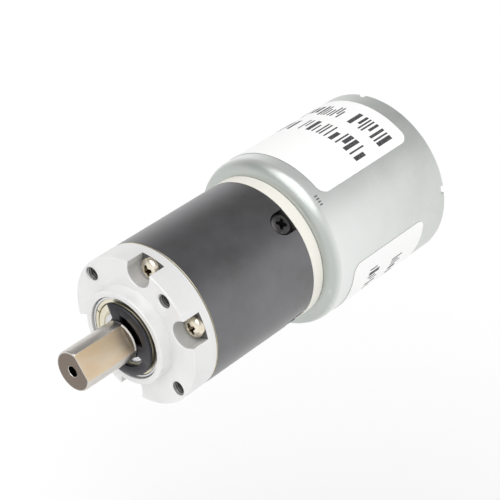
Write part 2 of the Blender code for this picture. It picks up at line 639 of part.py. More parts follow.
def build_rotor():
    back, front = ROTOR_SHAFT_X
    rod = [(front, 0), (front, ROTOR_SHAFT_R), (back, ROTOR_SHAFT_R), (back, 0)]
    add("rotor_shaft", turned(rod, SMALL_SIDES), "ground_steel")
    bore = [circle(ROTOR_BORE_R, SMALL_SIDES)]
    add("armature_core", prism(core_outline(), *CORE_X, bore), "lamination_steel")
    build_windings()
    add("commutator", prism(commutator_outline(), *COMMUTATOR_X, bore), "copper")


def build_end_cap():
    """The moulded rear cap, with a bearing boss and a slot for each terminal."""
    rim_r, pocket, pocket_back = CAN_R - CAN_WALL - GAP, BUSHING_R + GAP, REAR_BUSHING_X[0] - 0.3 * MM
    boss_r, chamfer, hole_r = 5.2 * MM, 0.5 * MM, ROTOR_SHAFT_R + 0.7 * MM
    profile = [(CAP_FRONT, pocket), (CAP_FRONT, rim_r), (CAP_BACK, rim_r), (CAP_BACK, boss_r + 0.4 * MM),
               (CAP_BOSS_BACK + chamfer, boss_r), (CAP_BOSS_BACK, boss_r - chamfer),
               (CAP_BOSS_BACK, hole_r), (pocket_back, hole_r), (pocket_back, pocket)]
    cap = add("motor_end_cap", turned(profile), "black_nylon")
    for angle in TERMINAL_ANGLES:
        thick, half = TERMINAL_HALF_THICKNESS + GAP, TERMINAL_HALF_WIDTH + 0.3 * MM
        slot = box((CAP_BACK - MM, TERMINAL_R - thick, -half), (CAP_FRONT + MM, TERMINAL_R + thick, half))
        cut(cap, slot, about_axis(angle))


def build_terminal(name, angle):
    """A flat tab with a round end and an eye, through the end cap."""
    half, thick, (back, front) = TERMINAL_HALF_WIDTH, TERMINAL_HALF_THICKNESS, TERMINAL_X
    end = back + half
    tab = [(front, -half), (front, half)]
    tab += [(end - half * math.cos(a), half * math.sin(a))
            for a in [math.pi * (0.5 - k / 8) for k in range(9)]]
    eye = [(end + TERMINAL_EYE_R * math.cos(a), TERMINAL_EYE_R * math.sin(a))
           for a in [math.pi * k / 6 for k in range(12)]]
    turn_plate = Matrix(((0, 1, 0, 0), (1, 0, 0, 0), (0, 0, 1, 0), (0, 0, 0, 1)))
    plate = prism(tab, TERMINAL_R - thick, TERMINAL_R + thick, [eye])
    bmesh.ops.transform(plate, matrix=turn_plate, verts=plate.verts)
    add(name, plate, "brass", about_axis(angle))


def build_brush_gear():
    """A terminal, a carbon brush on the commutator and an L-shaped arm on either side."""
    brush_x, brush_r, brush_half = (-64.2 * MM, -61.6 * MM), (4.5 * MM, 7.2 * MM), 1.3 * MM
    arm_x, arm_r, arm_half, leaf = (-65.6 * MM, -61.8 * MM), (7.5 * MM, 12.4 * MM), 1.1 * MM, 0.4 * MM
    for k, angle in enumerate(TERMINAL_ANGLES, 1):
        place = about_axis(angle)
        build_terminal(f"motor_terminal_{k}", angle)
        brush = box((brush_x[0], brush_r[0], -brush_half), (brush_x[1], brush_r[1], brush_half))
        add(f"carbon_brush_{k}", brush, "carbon", place)
        along = box((arm_x[0], arm_r[0], -arm_half), (arm_x[1], arm_r[0] + leaf, arm_half))
        arm = add(f"brush_arm_{k}", along, "brass", place)
        outward = box((arm_x[0], arm_r[0] + leaf / 2, -arm_half), (arm_x[0] + leaf, arm_r[1], arm_half))
        join(arm, outward, place)


# ----------------------------------------------------------------------- labels

def label(name, x_range, angles, columns):
    """A thin curved sheet on the can, with rounded corners."""
    (x_low, x_high), (start, end) = x_range, angles
    inner, outer, corner = CAN_R + LABEL_GAP, CAN_R + LABEL_GAP + LABEL_THICKNESS, LABEL_CORNER_R
    length = (end - start) * outer
    rounded = [corner * (1 - math.cos(math.pi * k / 8)) for k in range(5)]
    plain = [corner + (length - 2 * corner) * k / columns for k in range(1, columns)]
    stations = rounded + plain + [length - s for s in reversed(rounded)]
    bm = bmesh.new()
    rows = []
    for s in stations:
        short = max(0.0, corner - min(s, length - s))
        inset = corner - math.sqrt(corner ** 2 - short ** 2)
        angle = start + s / outer
        corners = [(x_low + inset, inner), (x_high - inset, inner), (x_high - inset, outer),
                   (x_low + inset, outer)]
        rows.append([bm.verts.new((x, *polar(r, angle))) for x, r in corners])
    for row, following in zip(rows, rows[1:]):
        for k in range(4):
            bm.faces.new((row[k], row[k - 1], following[k - 1], following[k]))
    bm.faces.new(rows[0])
    bm.faces.new(rows[-1][::-1])
    add(name, bm, "label_paper")


def build_motor():
    build_can()
    build_stator()
    add("motor_front_bushing", bushing(FRONT_BUSHING_X), "bronze")
    add("motor_rear_bushing", bushing(REAR_BUSHING_X), "bronze")
    build_rotor()
    build_end_cap()
    build_brush_gear()
    label("rating_label", *RATING_LABEL, 20)
    label("side_label", *SIDE_LABEL, 9)


def main():
    for old in list(bpy.data.objects):
        bpy.data.objects.remove(old, do_unlink=True)
    build_flange()
    build_output_group()
    build_gears()
    build_tube()
    build_adapter()
    build_motor()


main()
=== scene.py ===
"""The looks of a geared DC motor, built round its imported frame.

Shapes are drawn in millimetres, in the frame's own axes, and scaled to metres
when a piece is finished. +X runs out of the output shaft, x = 0 is the
flange's front face and +Z is up. Angles turn about +X from +Y towards +Z.
"""
import json
import math
import random

import bmesh
import bpy
from mathutils import Matrix, Vector


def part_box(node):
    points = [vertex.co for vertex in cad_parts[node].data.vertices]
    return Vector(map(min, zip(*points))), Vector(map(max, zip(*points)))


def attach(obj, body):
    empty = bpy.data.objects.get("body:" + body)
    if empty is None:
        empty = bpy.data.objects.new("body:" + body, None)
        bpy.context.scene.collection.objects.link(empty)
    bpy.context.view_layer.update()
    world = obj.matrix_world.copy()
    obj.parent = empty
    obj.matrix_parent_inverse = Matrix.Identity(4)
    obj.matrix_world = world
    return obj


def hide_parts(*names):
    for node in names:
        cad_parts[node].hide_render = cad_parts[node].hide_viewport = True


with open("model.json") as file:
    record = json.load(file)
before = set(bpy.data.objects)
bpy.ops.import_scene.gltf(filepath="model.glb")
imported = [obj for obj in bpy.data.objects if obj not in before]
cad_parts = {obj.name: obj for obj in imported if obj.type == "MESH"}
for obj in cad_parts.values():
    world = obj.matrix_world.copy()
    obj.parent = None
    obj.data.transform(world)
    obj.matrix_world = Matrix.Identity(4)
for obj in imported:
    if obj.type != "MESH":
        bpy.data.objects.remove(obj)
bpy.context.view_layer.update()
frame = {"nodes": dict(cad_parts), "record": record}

MM = 0.001
FINE = 192                    # facets round the large turned pieces
SMALL = 48                    # facets round screws and small bores
TAU = 2 * math.pi

BODY_R = 15.0                 # flange, gearbox tube and adapter ring
SPIGOT_R = 10.9
BOSS_R = 9.5
BEARING_SEAT_R = 8.2
SEAT_LIP_R = 7.2              # the ring in the flange that parts its two bearings
SEAT_LIP_BACK, SEAT_LIP_FRONT = -4.25, -2.85
TAP_ANGLES = [math.radians(45 + 90 * k) for k in range(4)]
TAP_PCD_R = 13.0
TAP_CORE_R, TAP_DEPTH = 1.27, 8.0
POCKET_ANGLES = [math.radians(a) for a in (15, 75, 195, 255)]
POCKET_FLOOR = -3.9
POCKET_END_R = 13.5
POCKET_HALF_WIDTH = 2.7
POCKET_CHAMFER = 0.14
FLANGE_SCREW_PCD_R = 12.9
SHAFT_R = 4.0
SHAFT_GROOVE_R = 3.3
SHAFT_STEP, SHAFT_STEP_R = -9.8, 3.0
CENTRE_HOLE_R, CENTRE_HOLE_DEPTH = 1.08, 3.0
FLAT_ANGLE = math.radians(30)
FLAT_FROM_AXIS = 3.0
FLAT_END = 4.0
EDGE_BREAK = 0.03             # depth of the broken edges along the flat
CLIP_R = 7.3
CLIP_MOUTH_ANGLE = math.radians(166)
MODULE, PRESSURE_ANGLE = 0.5, math.radians(25)
ADDENDUM, DEDENDUM, BACKLASH = 0.40, 0.60, 0.08
RING_TEETH = 42
TEETH_FRONT, TEETH_BACK = -10.2, -27.2
TUBE_REAR_BORE_R = 13.0
HOUSING_SLOT_HALF_WIDTH = 2.4
ADAPTER_SPIGOT_R = 12.7
ADAPTER_BORE_R = 9.9
CAN_R = 17.7
CAN_WALL = 1.0
CAN_FRONT = -35.5
CAN_SHOULDER_R = 2.6
MOTOR_BOSS_R = 5.0
MARK_BACK, MARK_FRONT, MARK_DEPTH = -39.0, -38.25, 0.12
CRIMP_ANGLES = [math.radians(4 + 90 * k) for k in range(4)]
CAP_R = 16.5
CAP_FACE = -69.3
CAP_RIB_R = 14.6              # reach of the ribs and of the sunk face
TERMINAL_R = 11.0
LABEL_LIFT, LABEL_CORNER = 0.05, 2.0
FLOOR_Z = -0.10               # metres
CAMERA_EYE = (0.17343, 0.20972, 0.16556)          # metres
CAMERA_TARGET = (-0.03149, 0.000205, 0.001323)    # metres
CAMERA_UP = (0.0, 0.153, 0.988)
CAMERA_LENS = 126.2           # millimetres, on a sensor 36 wide


def x_range(node):
    """The lowest and highest x of a CAD node, in millimetres."""
    low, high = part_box(node)
    return low.x / MM, high.x / MM


def middle(node):
    """The centre of a CAD node's box, in millimetres."""
    low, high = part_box(node)
    return (low + high) / 2 / MM


# ------------------------------------------------------------- shader helpers

class Shader:
    """A node material with a Principled shader, and short calls to wire it."""

    def __init__(self, name, metallic, roughness=0.5):
        self.made = bpy.data.materials.new(name)
        self.made.use_nodes = True
        self.tree = self.made.node_tree
        self.principled = self.tree.nodes["Principled BSDF"]
        self.place = self.add("ShaderNodeTexCoord").outputs["Object"]
        self.set(Metallic=metallic, Roughness=roughness)

    def add(self, kind, **settings):
        node = self.tree.nodes.new(kind)
        for key, value in settings.items():
            setattr(node, key, value)
        return node

    def feed(self, socket, value):
        if isinstance(value, bpy.types.NodeSocket):
            self.tree.links.new(value, socket)
        else:
            socket.default_value = value

    def set(self, **inputs):
        """Set Principled inputs by name, with _ for a space."""
        for key, value in inputs.items():
            if isinstance(value, tuple) and len(value) == 3:
                value = (*value, 1.0)
            self.feed(self.principled.inputs[key.replace("_", " ")], value)

    def math(self, operation, *values):
        node = self.add("ShaderNodeMath", operation=operation)
        for socket, value in zip(node.inputs, values):
            self.feed(socket, value)
        return node.outputs[0]

    def split(self):
        """The object's own x, y and z, in metres."""
        node = self.add("ShaderNodeSeparateXYZ")
        self.feed(node.inputs[0], self.place)
        return node.outputs

    def vector(self, x, y, z):
        node = self.add("ShaderNodeCombineXYZ")
        for socket, value in zip(node.inputs, (x, y, z)):
            self.feed(socket, value)
        return node.outputs[0]

    def scaled(self, x, y, z):
        node = self.add("ShaderNodeMapping")
        self.feed(node.inputs["Vector"], self.place)
        node.inputs["Scale"].default_value = (x, y, z)
        return node.outputs[0]

    def noise(self, scale, detail=4.0, rough=0.55, vector=None, distortion=0.0):
        node = self.add("ShaderNodeTexNoise")
        self.feed(node.inputs["Vector"], vector or self.place)
        self.feed(node.inputs["Scale"], scale)
        self.feed(node.inputs["Detail"], detail)
        self.feed(node.inputs["Roughness"], rough)
        self.feed(node.inputs["Distortion"], distortion)
        return node.outputs["Fac"]

    def cells(self, scale):
        node = self.add("ShaderNodeTexVoronoi")
        self.feed(node.inputs["Vector"], self.place)
        self.feed(node.inputs["Scale"], scale)
        return node.outputs[0]

    def span(self, value, low, high, to_low=0.0, to_high=1.0):
        """Map a value from one range to another, held at both ends."""
        node = self.add("ShaderNodeMapRange")
        for socket, number in zip(node.inputs, (value, low, high, to_low, to_high)):
            self.feed(socket, number)
        return node.outputs[0]

    def mix(self, amount, first, second):
        node = self.add("ShaderNodeMix", data_type="RGBA")
        self.feed(node.inputs["Factor"], amount)
        for key, value in (("A", first), ("B", second)):
            socket = [s for s in node.inputs if s.name == key and s.type == "RGBA"][0]
            self.feed(socket, (*value, 1.0) if isinstance(value, tuple) else value)
        return [s for s in node.outputs if s.type == "RGBA"][0]

    def bump(self, height, distance):
        """Add a bump, on top of any bump already there. Distance is in millimetres."""
        node = self.add("ShaderNodeBump")
        self.feed(node.inputs["Height"], height)
        node.inputs["Distance"].default_value = distance * MM
        node.inputs["Strength"].default_value = 1.0
        normal = self.principled.inputs["Normal"]
        if normal.links:
            self.tree.links.new(normal.links[0].from_socket, node.inputs["Normal"])
        self.tree.links.new(node.outputs["Normal"], normal)

    def shade(self):
        """The value that `darken` stored on a face: 0 lit to 1 dark, mostly painted shade, and -1 a painted
        highlight.
        """
        return self.add("ShaderNodeAttribute", attribute_name="depth").outputs["Fac"]

    def lathe(self):
        """Coordinates that change along a turned surface and hardly at all round it."""
        x, y, z = self.split()
        squares = self.math("ADD", self.math("MULTIPLY", y, y), self.math("MULTIPLY", z, z))
        around = self.math("MULTIPLY", self.math("ARCTAN2", z, y), 0.00002)
        return self.vector(x, self.math("SQRT", squares), around)


# ------------------------------------------------------------------ materials

def turned_metal(name, colour, tint, roughness, marks, speckle=0.0):
    """Lathe-turned metal: fine rings, soft mottling and a few paler rub marks."""
    s = Shader(name, 1.0)
    rings = s.noise(9000, 3, 0.6, s.lathe())
    cloud = s.noise(220, 4, 0.6)
    rub = s.span(s.noise(1400, 3, 0.5, s.scaled(1, 0.35, 1)), 0.58, 0.75)
    base = s.mix(s.span(cloud, 0.3, 0.7), colour, tint)
    base = s.mix(s.math("MULTIPLY", rub, 0.25), base, tuple(min(1.0, 1.1 * c) for c in colour))
    # Faces that `darken` marked turn near black: painted shade, here in the bearing shield's groove.
    s.set(Base_Color=s.mix(s.shade(), base, (0.03, 0.028, 0.025)))
    spread = s.math("ADD", s.span(rings, 0.3, 0.7, -0.05, 0.05), s.span(cloud, 0.3, 0.7, -0.04, 0.05))
    s.set(Roughness=s.math("ADD", spread, roughness))
    s.bump(rings, 0.006 * marks)
    if speckle:
        s.bump(s.noise(5200, 2, 0.5), 0.004 * speckle)
    return s.made


def flange_aluminium():
    """Satin-blasted aluminium with random grime, and painted shade in the pockets and tapped holes."""
    s = Shader("flange_aluminium", 0.2)
    rings = s.noise(7000, 3, 0.6, s.lathe())
    cloud = s.noise(160, 4, 0.6)
    grime = s.span(s.noise(700, 5, 0.65), 0.6, 0.8)
    base = s.mix(s.span(cloud, 0.3, 0.7), (0.80, 0.80, 0.795), (0.75, 0.75, 0.745))
    base = s.mix(s.math("MULTIPLY", grime, 0.12), base, (0.62, 0.61, 0.59))
    # Painted shade: faces that `darken` marked in the pockets and tapped holes turn near black.
    s.set(Base_Color=s.mix(s.shade(), base, (0.05, 0.048, 0.045)))
    spread = s.math("ADD", s.span(rings, 0.3, 0.7, -0.05, 0.06), s.span(cloud, 0.3, 0.7, -0.05, 0.05))
    s.set(Roughness=s.math("ADD", spread, 0.40))
    s.bump(rings, 0.006)
    s.bump(s.noise(6000, 2, 0.5), 0.005)
    return s.made


def tube_black():
    """Dark anodised tube with faint turning rings and bare metal on its front chamfer."""
    s = Shader("tube_black", 1.0)
    rings = s.noise(5200, 3, 0.6, s.lathe())
    cloud = s.noise(120, 4, 0.6)
    dust = s.span(s.noise(2600, 3, 0.5), 0.68, 0.8)
    dark = s.mix(s.span(cloud, 0.3, 0.7), (0.165, 0.163, 0.166), (0.205, 0.206, 0.216))
    dark = s.mix(s.math("MULTIPLY", dust, 0.15), dark, (0.25, 0.25, 0.25))
    front = x_range("ring_gear_housing")[1] * MM
    edge = s.math("ADD", s.split()[0], s.span(s.noise(900, 2), 0.0, 1.0, -0.00004, 0.00004))
    bare = s.span(edge, front - 0.00013, front - 0.00008)
    s.set(Base_Color=s.mix(bare, dark, (0.62, 0.54, 0.36)))
    spread = s.math("ADD", s.span(rings, 0.3, 0.7, -0.04, 0.05), s.span(cloud, 0.3, 0.7, -0.03, 0.05))
    s.set(Roughness=s.math("ADD", spread, 0.31))
    s.bump(rings, 0.005)
    s.bump(s.noise(7000, 2, 0.5), 0.003)
    return s.made


def can_zinc():
    """Zinc plate on drawn steel: a grey-green bloom, with painted light making it paler towards the front
    and painted shade darkening the shoulder.
    """
    s = Shader("can_zinc", 0.78)
    bloom = s.noise(90, 5, 0.62, distortion=0.6)
    grain = s.cells(2600)
    scuff = s.span(s.noise(500, 4, 0.6, s.scaled(2.4, 0.5, 0.5)), 0.6, 0.72)
    back, front = x_range("motor_can")
    # Painted light: the can's colour grows paler from its rear to its front.
    along = s.span(s.split()[0], back * MM, front * MM)
    bloom_tone = s.mix(s.span(bloom, 0.3, 0.7), (0.54, 0.565, 0.545), (0.64, 0.66, 0.64))
    base = s.mix(along, bloom_tone, (0.82, 0.84, 0.825))
    # Painted shade: the front shoulder is darker.
    painted_shoulder_shade = s.span(s.split()[0], (CAN_FRONT - 2.4) * MM, (CAN_FRONT - 0.9) * MM)
    base = s.mix(painted_shoulder_shade, base, (0.50, 0.53, 0.505))
    base = s.mix(s.math("MULTIPLY", scuff, 0.2), base, (0.88, 0.89, 0.88))
    specks = s.span(s.noise(3800, 2, 0.5), 0.7, 0.78)
    base = s.mix(s.math("MULTIPLY", specks, 0.35), base, (0.42, 0.44, 0.42))
    # Faces that `darken` marked, the stamped bars, turn near black.
    s.set(Base_Color=s.mix(s.shade(), base, (0.06, 0.06, 0.06)))
    spread = s.math("ADD", s.span(bloom, 0.3, 0.7, -0.05, 0.06), s.math("MULTIPLY", scuff, -0.06))
    s.set(Roughness=s.math("ADD", spread, 0.36))
    s.bump(grain, 0.006)
    s.bump(s.noise(1500, 3, 0.6), 0.010)
    return s.made


def moulded(name, colour, darker, roughness, grain=1.0):
    """Moulded plastic: fine spark-eroded grain and slight colour drift."""
    s = Shader(name, 0.0)
    cloud = s.noise(150, 4, 0.6)
    base = s.mix(s.span(cloud, 0.3, 0.7), colour, darker)
    # Faces that `darken` marked turn near black: painted shade, here behind the tube's slots.
    s.set(Base_Color=s.mix(s.shade(), base, (0.012, 0.012, 0.012)))
    fine = s.noise(4200, 3, 0.6)
    s.set(Roughness=s.span(fine, 0.3, 0.7, roughness - 0.06, roughness + 0.08))
    s.bump(fine, 0.010 * grain)
    return s.made


def shaft_steel():
    """Ground steel: lengthwise brushing on the flat, rings elsewhere, a warm tarnish. Painted shade darkens
    the end face, the groove, the centre hole and the flat's end step; a painted highlight lightens the
    round part behind the flat.
    """
    s = Shader("shaft_steel", 1.0)
    rings = s.noise(9000, 3, 0.6, s.lathe())
    brushed = s.noise(5200, 4, 0.6, s.scaled(0.03, 1, 1))
    y, z = s.split()[1], s.split()[2]
    outward = s.math("ADD", s.math("MULTIPLY", y, math.cos(FLAT_ANGLE)),
                     s.math("MULTIPLY", z, math.sin(FLAT_ANGLE)))
    near = s.math("ABSOLUTE", s.math("SUBTRACT", outward, FLAT_FROM_AXIS * MM))
    ahead = s.math("GREATER_THAN", s.split()[0], FLAT_END * MM)
    flat = s.math("MULTIPLY", s.span(near, 0.00002, 0.00004, 1.0, 0.0), ahead)
    tarnish = s.noise(260, 5, 0.6, s.scaled(0.4, 1, 1))
    warm = s.mix(s.span(tarnish, 0.35, 0.7), (0.74, 0.57, 0.38), (0.78, 0.68, 0.54))
    cool = s.mix(s.span(tarnish, 0.35, 0.7), (0.62, 0.59, 0.55), (0.70, 0.68, 0.65))
    # Painted shade: the end face turns dark brown, so its rounded rim reads as a bright edge.
    end = x_range("output_shaft")[1] * MM
    tip = s.span(s.split()[0], end - 0.00004, end - 0.00001)
    base = s.mix(tip, s.mix(flat, cool, warm), (0.20, 0.16, 0.13))
    # Painted highlight: faces stored at -1 turn pale and mostly non-metallic, so they look lit.
    bright = s.span(s.shade(), -1.0, -0.5, 1.0, 0.0)
    base = s.mix(bright, base, (0.92, 0.88, 0.83))
    s.set(Metallic=s.math("SUBTRACT", 1.0, s.math("MULTIPLY", bright, 0.85)))
    # Painted shade: faces stored towards 1 turn near black.
    s.set(Base_Color=s.mix(s.shade(), base, (0.015, 0.013, 0.012)))
    spread = s.span(brushed, 0.3, 0.7, 0.24, 0.34)
    s.set(Roughness=s.math("ADD", s.math("MULTIPLY", flat, 0.10), spread))
    mark = s.math("ADD", s.math("MULTIPLY", flat, brushed),
                  s.math("MULTIPLY", s.math("SUBTRACT", 1.0, flat), rings))
    s.bump(mark, 0.008)
    return s.made


def dark_steel(name, colour, roughness, metallic=0.8, wear=0.3):
    """Blackened steel: mottled, with small worn spots that show the metal."""
    s = Shader(name, metallic)
    cloud = s.noise(500, 5, 0.6)
    worn = s.math("MULTIPLY", s.span(s.noise(2200, 4, 0.6), 0.62, 0.74), wear)
    base = s.mix(s.span(cloud, 0.3, 0.7), colour, tuple(1.7 * c for c in colour))
    s.set(Base_Color=s.mix(worn, base, (0.35, 0.33, 0.31)))
    s.set(Roughness=s.span(cloud, 0.3, 0.7, roughness - 0.06, roughness + 0.08))
    s.bump(s.noise(4200, 3, 0.6), 0.006)
    return s.made


def screw_nickel():
    """Bright nickel plate with a warm cast, and painted shade down in the recess."""
    s = Shader("screw_nickel", 1.0)
    cloud = s.noise(700, 4, 0.6)
    base = s.mix(s.span(cloud, 0.3, 0.7), (0.76, 0.67, 0.50), (0.88, 0.83, 0.73))
    # Painted shade: recess faces turn dark brown.
    s.set(Base_Color=s.mix(s.shade(), base, (0.07, 0.045, 0.02)))
    s.set(Roughness=s.span(cloud, 0.3, 0.7, 0.18, 0.28))
    s.bump(s.noise(3800, 3, 0.6), 0.008)
    return s.made


def label_paper():
    """White film with grey print: blank bars stand where words would be."""
    s = Shader("label_paper", 0.0)
    ink = s.add("ShaderNodeAttribute", attribute_name="ink").outputs["Fac"]
    fibre = s.noise(2400, 4, 0.6)
    paper = s.mix(s.span(fibre, 0.3, 0.7), (0.95, 0.95, 0.945), (0.92, 0.92, 0.915))
    patchy = s.math("MULTIPLY", ink, s.span(s.noise(5200, 3, 0.6), 0.25, 0.5, 0.8, 1.0))
    s.set(Base_Color=s.mix(patchy, paper, (0.035, 0.035, 0.04)))
    s.set(Roughness=s.span(fibre, 0.3, 0.7, 0.48, 0.6))
    s.bump(fibre, 0.006)
    return s.made


def copper():
    """Enamelled wire: strands wound round the core, seen as fine ridges."""
    s = Shader("copper", 1.0)
    strands = s.add("ShaderNodeTexWave", bands_direction="DIAGONAL")
    s.feed(strands.inputs["Vector"], s.place)
    s.feed(strands.inputs["Scale"], 620.0)
    s.feed(strands.inputs["Distortion"], 1.5)
    ridge = strands.outputs["Fac"]
    s.set(Base_Color=s.mix(ridge, (0.42, 0.16, 0.08), (0.76, 0.38, 0.20)))
    s.set(Roughness=s.span(ridge, 0.0, 1.0, 0.4, 0.25))
    s.bump(ridge, 0.05)
    return s.made


def laminations():
    """The rotor core's stacked sheets, seen as lines across its length."""
    s = Shader("lamination_steel", 0.9)
    sheets = s.add("ShaderNodeTexWave", bands_direction="X")
    s.feed(sheets.inputs["Vector"], s.place)
    s.feed(sheets.inputs["Scale"], 320.0)
    ridge = sheets.outputs["Fac"]
    s.set(Base_Color=s.mix(ridge, (0.20, 0.20, 0.21), (0.45, 0.45, 0.47)))
    s.set(Roughness=s.span(s.noise(900), 0.3, 0.7, 0.38, 0.55))
    s.bump(ridge, 0.03)
    return s.made


def floor_white():
    """A matt pale floor with a hardly visible drift in tone."""
    s = Shader("floor_white", 0.0, 0.9)
    s.set(Base_Color=s.mix(s.noise(3.0, 3, 0.5), (0.95, 0.95, 0.95), (0.97, 0.97, 0.97)))
    s.bump(s.noise(900, 3, 0.6), 0.02)
    return s.made


def make_materials():
    return {
        "flange_aluminium": flange_aluminium(),
        "tube_black": tube_black(),
        "can_zinc": can_zinc(),
        "adapter_cream": moulded("adapter_cream", (0.86, 0.84, 0.77), (0.82, 0.80, 0.73), 0.45),
        "shaft_steel": shaft_steel(),
        "bearing_steel": turned_metal("bearing_steel", (0.72, 0.72, 0.73), (0.64, 0.64, 0.65), 0.2, 0.4),
        "bearing_shield": turned_metal("bearing_shield", (0.80, 0.76, 0.62), (0.72, 0.68, 0.54), 0.34, 0.6),
        "clip_black": dark_steel("clip_black", (0.022, 0.022, 0.026), 0.38, 0.5, 0.12),
        "screw_nickel": screw_nickel(),
        "screw_black": dark_steel("screw_black", (0.05, 0.048, 0.048), 0.32, 0.85, 0.35),
        "gear_steel": turned_metal("gear_steel", (0.42, 0.42, 0.43), (0.34, 0.34, 0.36), 0.38, 1.0),
        "bronze": turned_metal("bronze", (0.58, 0.36, 0.17), (0.46, 0.28, 0.13), 0.45, 0.8, speckle=2.0),
        "brass": turned_metal("brass", (0.80, 0.62, 0.30), (0.72, 0.52, 0.22), 0.3, 0.5),
        "copper": copper(),
        "carbon": dark_steel("carbon", (0.035, 0.035, 0.036), 0.6, 0.2, 0.05),
        "ferrite": dark_steel("ferrite", (0.06, 0.06, 0.065), 0.7, 0.1, 0.08),
        "lamination_steel": laminations(),
        "cap_nylon": moulded("cap_nylon", (0.022, 0.022, 0.024), (0.032, 0.032, 0.034), 0.5, 1.4),
        "label_paper": label_paper(),
    }


MATERIALS = make_materials()
SLOTS = {row["node"]: row["material_slot"] for row in frame["record"]["subparts"]}
BODY_OF = {node: body for body, nodes in frame["record"]["behaviour"]["bodies"].items()
           for node in nodes}


# --------------------------------------------------------------- mesh helpers

def polar(radius, angle):
    return radius * math.cos(angle), radius * math.sin(angle)


def arc(radius, start, end, steps):
    """Points along an arc about the axis, both ends included."""
    return [polar(radius, start + (end - start) * k / steps) for k in range(steps + 1)]


def circle(radius, sides):
    return [polar(radius, TAU * (k + 0.5) / sides) for k in range(sides)]


def rounded(profile, steps=4):
    """A closed profile of (x, radius) or (x, radius, fillet), with its corners rounded.

    Each rounded corner gets a close point on both sides, so that flat faces
    beside it stay evenly shaded.
    """
    points = []
    for k, corner in enumerate(profile):
        here = Vector(corner[:2])
        if len(corner) < 3:
            points.append(here)
            continue
        ends, guards = [], []
        for other in (profile[k - 1], profile[(k + 1) % len(profile)]):
            side = Vector(other[:2]) - here
            reach = min(corner[2], 0.40 * side.length)
            ends.append(here + side.normalized() * reach)
            guards.append(here + side.normalized() * 1.15 * reach)
        points.append(guards[0])
        for step in range(steps + 1):
            t = step / steps
            points.append(ends[0] * (1 - t) ** 2 + here * 2 * t * (1 - t) + ends[1] * t * t)
        points.append(guards[1])
    return [tuple(p) for p in points]


def skin(rings, closed):
    """Join rings of points into a surface: into a loop if closed, else with a cap on each end."""
    bm = bmesh.new()
    loops = []
    for ring in rings:
        flat = all(point == ring[0] for point in ring)
        loops.append([bm.verts.new(point) for point in (ring[:1] if flat else ring)])
    sides = max(len(loop) for loop in loops)
    pairs = list(zip(loops, loops[1:] + loops[:1]))
    for loop, following in pairs if closed else pairs[:-1]:
        if len(loop) == len(following) == 1:
            continue
        for k in range(sides):
            corners = [loop[k % len(loop)], loop[(k + 1) % sides % len(loop)],
                       following[(k + 1) % sides % len(following)], following[k % len(following)]]
            bm.faces.new(list(dict.fromkeys(corners)))
    if not closed:
        for loop in (loops[0], loops[-1]):
            if len(loop) > 1:
                bm.faces.new(loop)
    return bm


def turned(profile, sides=FINE):
    """A solid of revolution about X."""
    rings = [[(x, y, z) for y, z in circle(radius, sides)] for x, radius in rounded(profile)]
    return skin(rings, True)


def prism(outline, x_low, x_high, holes=()):
    """A plate between two x values, with an outline and holes of (y, z) points."""
    bm = bmesh.new()
    caps = []
    for x in (x_low, x_high):
        loops, edges = [], []
        for points in (outline, *holes):
            loop = [bm.verts.new((x, y, z)) for y, z in points]
            edges += [bm.edges.new(pair) for pair in zip(loop, loop[1:] + loop[:1])]
            loops.append(loop)
        bmesh.ops.triangle_fill(bm, use_beauty=True, use_dissolve=False, edges=edges)
        caps.append(loops)
    for low, high in zip(*caps):
        following = zip(low[1:] + low[:1], high[1:] + high[:1])
        for (a, b), (c, d) in zip(zip(low, high), following):
            bm.faces.new((a, c, d, b))
    return bm


def loft(sections):
    """A solid through outlines of (y, z) points, given as (x, outline) in order."""
    return skin([[(x, y, z) for y, z in outline] for x, outline in sections], False)


def threaded(radius, depth, pitch, x_low, x_high, sides, flare=0.0):
    """A rod with a helical thread that stands out by depth, and a flare at its high end."""
    rows = max(2, round((x_high - x_low) / pitch * 6))
    rings = []
    for row in range(rows + 1):
        x = x_low + (x_high - x_low) * row / rows
        widen = max(0.0, flare - (x_high - x))
        ring = []
        for k in range(sides):
            phase = (x / pitch - k / sides) % 1.0
            crest = 1 - abs(2 * phase - 1)
            ring.append((x, *polar(radius + depth * crest + widen, TAU * k / sides)))
        rings.append(ring)
    return skin(rings, False)


def box(low, high):
    bm = bmesh.new()
    bmesh.ops.create_cube(bm, size=1.0)
    for vert in bm.verts:
        vert.co = Vector([a + (b - a) * (c + 0.5) for a, b, c in zip(low, high, vert.co)])
    return bm


def about_axis(angle):
    return Matrix.Rotation(angle, 4, "X")


def shifted(x, y=0.0, z=0.0):
    return Matrix.Translation((x, y, z))


def radial_frame(angle, x):
    """A place whose local X points outward at this angle, at this x."""
    return about_axis(angle) @ shifted(x) @ Matrix.Rotation(math.pi / 2, 4, "Z")


def solid(bm, place=Matrix.Identity(4)):
    """An object in millimetres from a bmesh."""
    bmesh.ops.recalc_face_normals(bm, faces=bm.faces)
    mesh = bpy.data.meshes.new("shape")
    bm.to_mesh(mesh)
    bm.free()
    mesh.transform(place)
    made = bpy.data.objects.new("shape", mesh)
    bpy.context.scene.collection.objects.link(made)
    return made


def settled(target):
    """Apply every modifier of an object to its mesh."""
    bpy.context.view_layer.update()
    graph = bpy.context.evaluated_depsgraph_get()
    mesh = bpy.data.meshes.new_from_object(target.evaluated_get(graph))
    target.modifiers.clear()
    target.data = mesh
    return target


def combine(target, tools, operation="DIFFERENCE"):
    """Cut tools from a target, or join them on, one after another."""
    for tool in tools:
        step = target.modifiers.new("combine", "BOOLEAN")
        step.operation = operation
        step.solver = "EXACT"
        step.object = tool
        settled(target)
        bpy.data.objects.remove(tool)
    return target


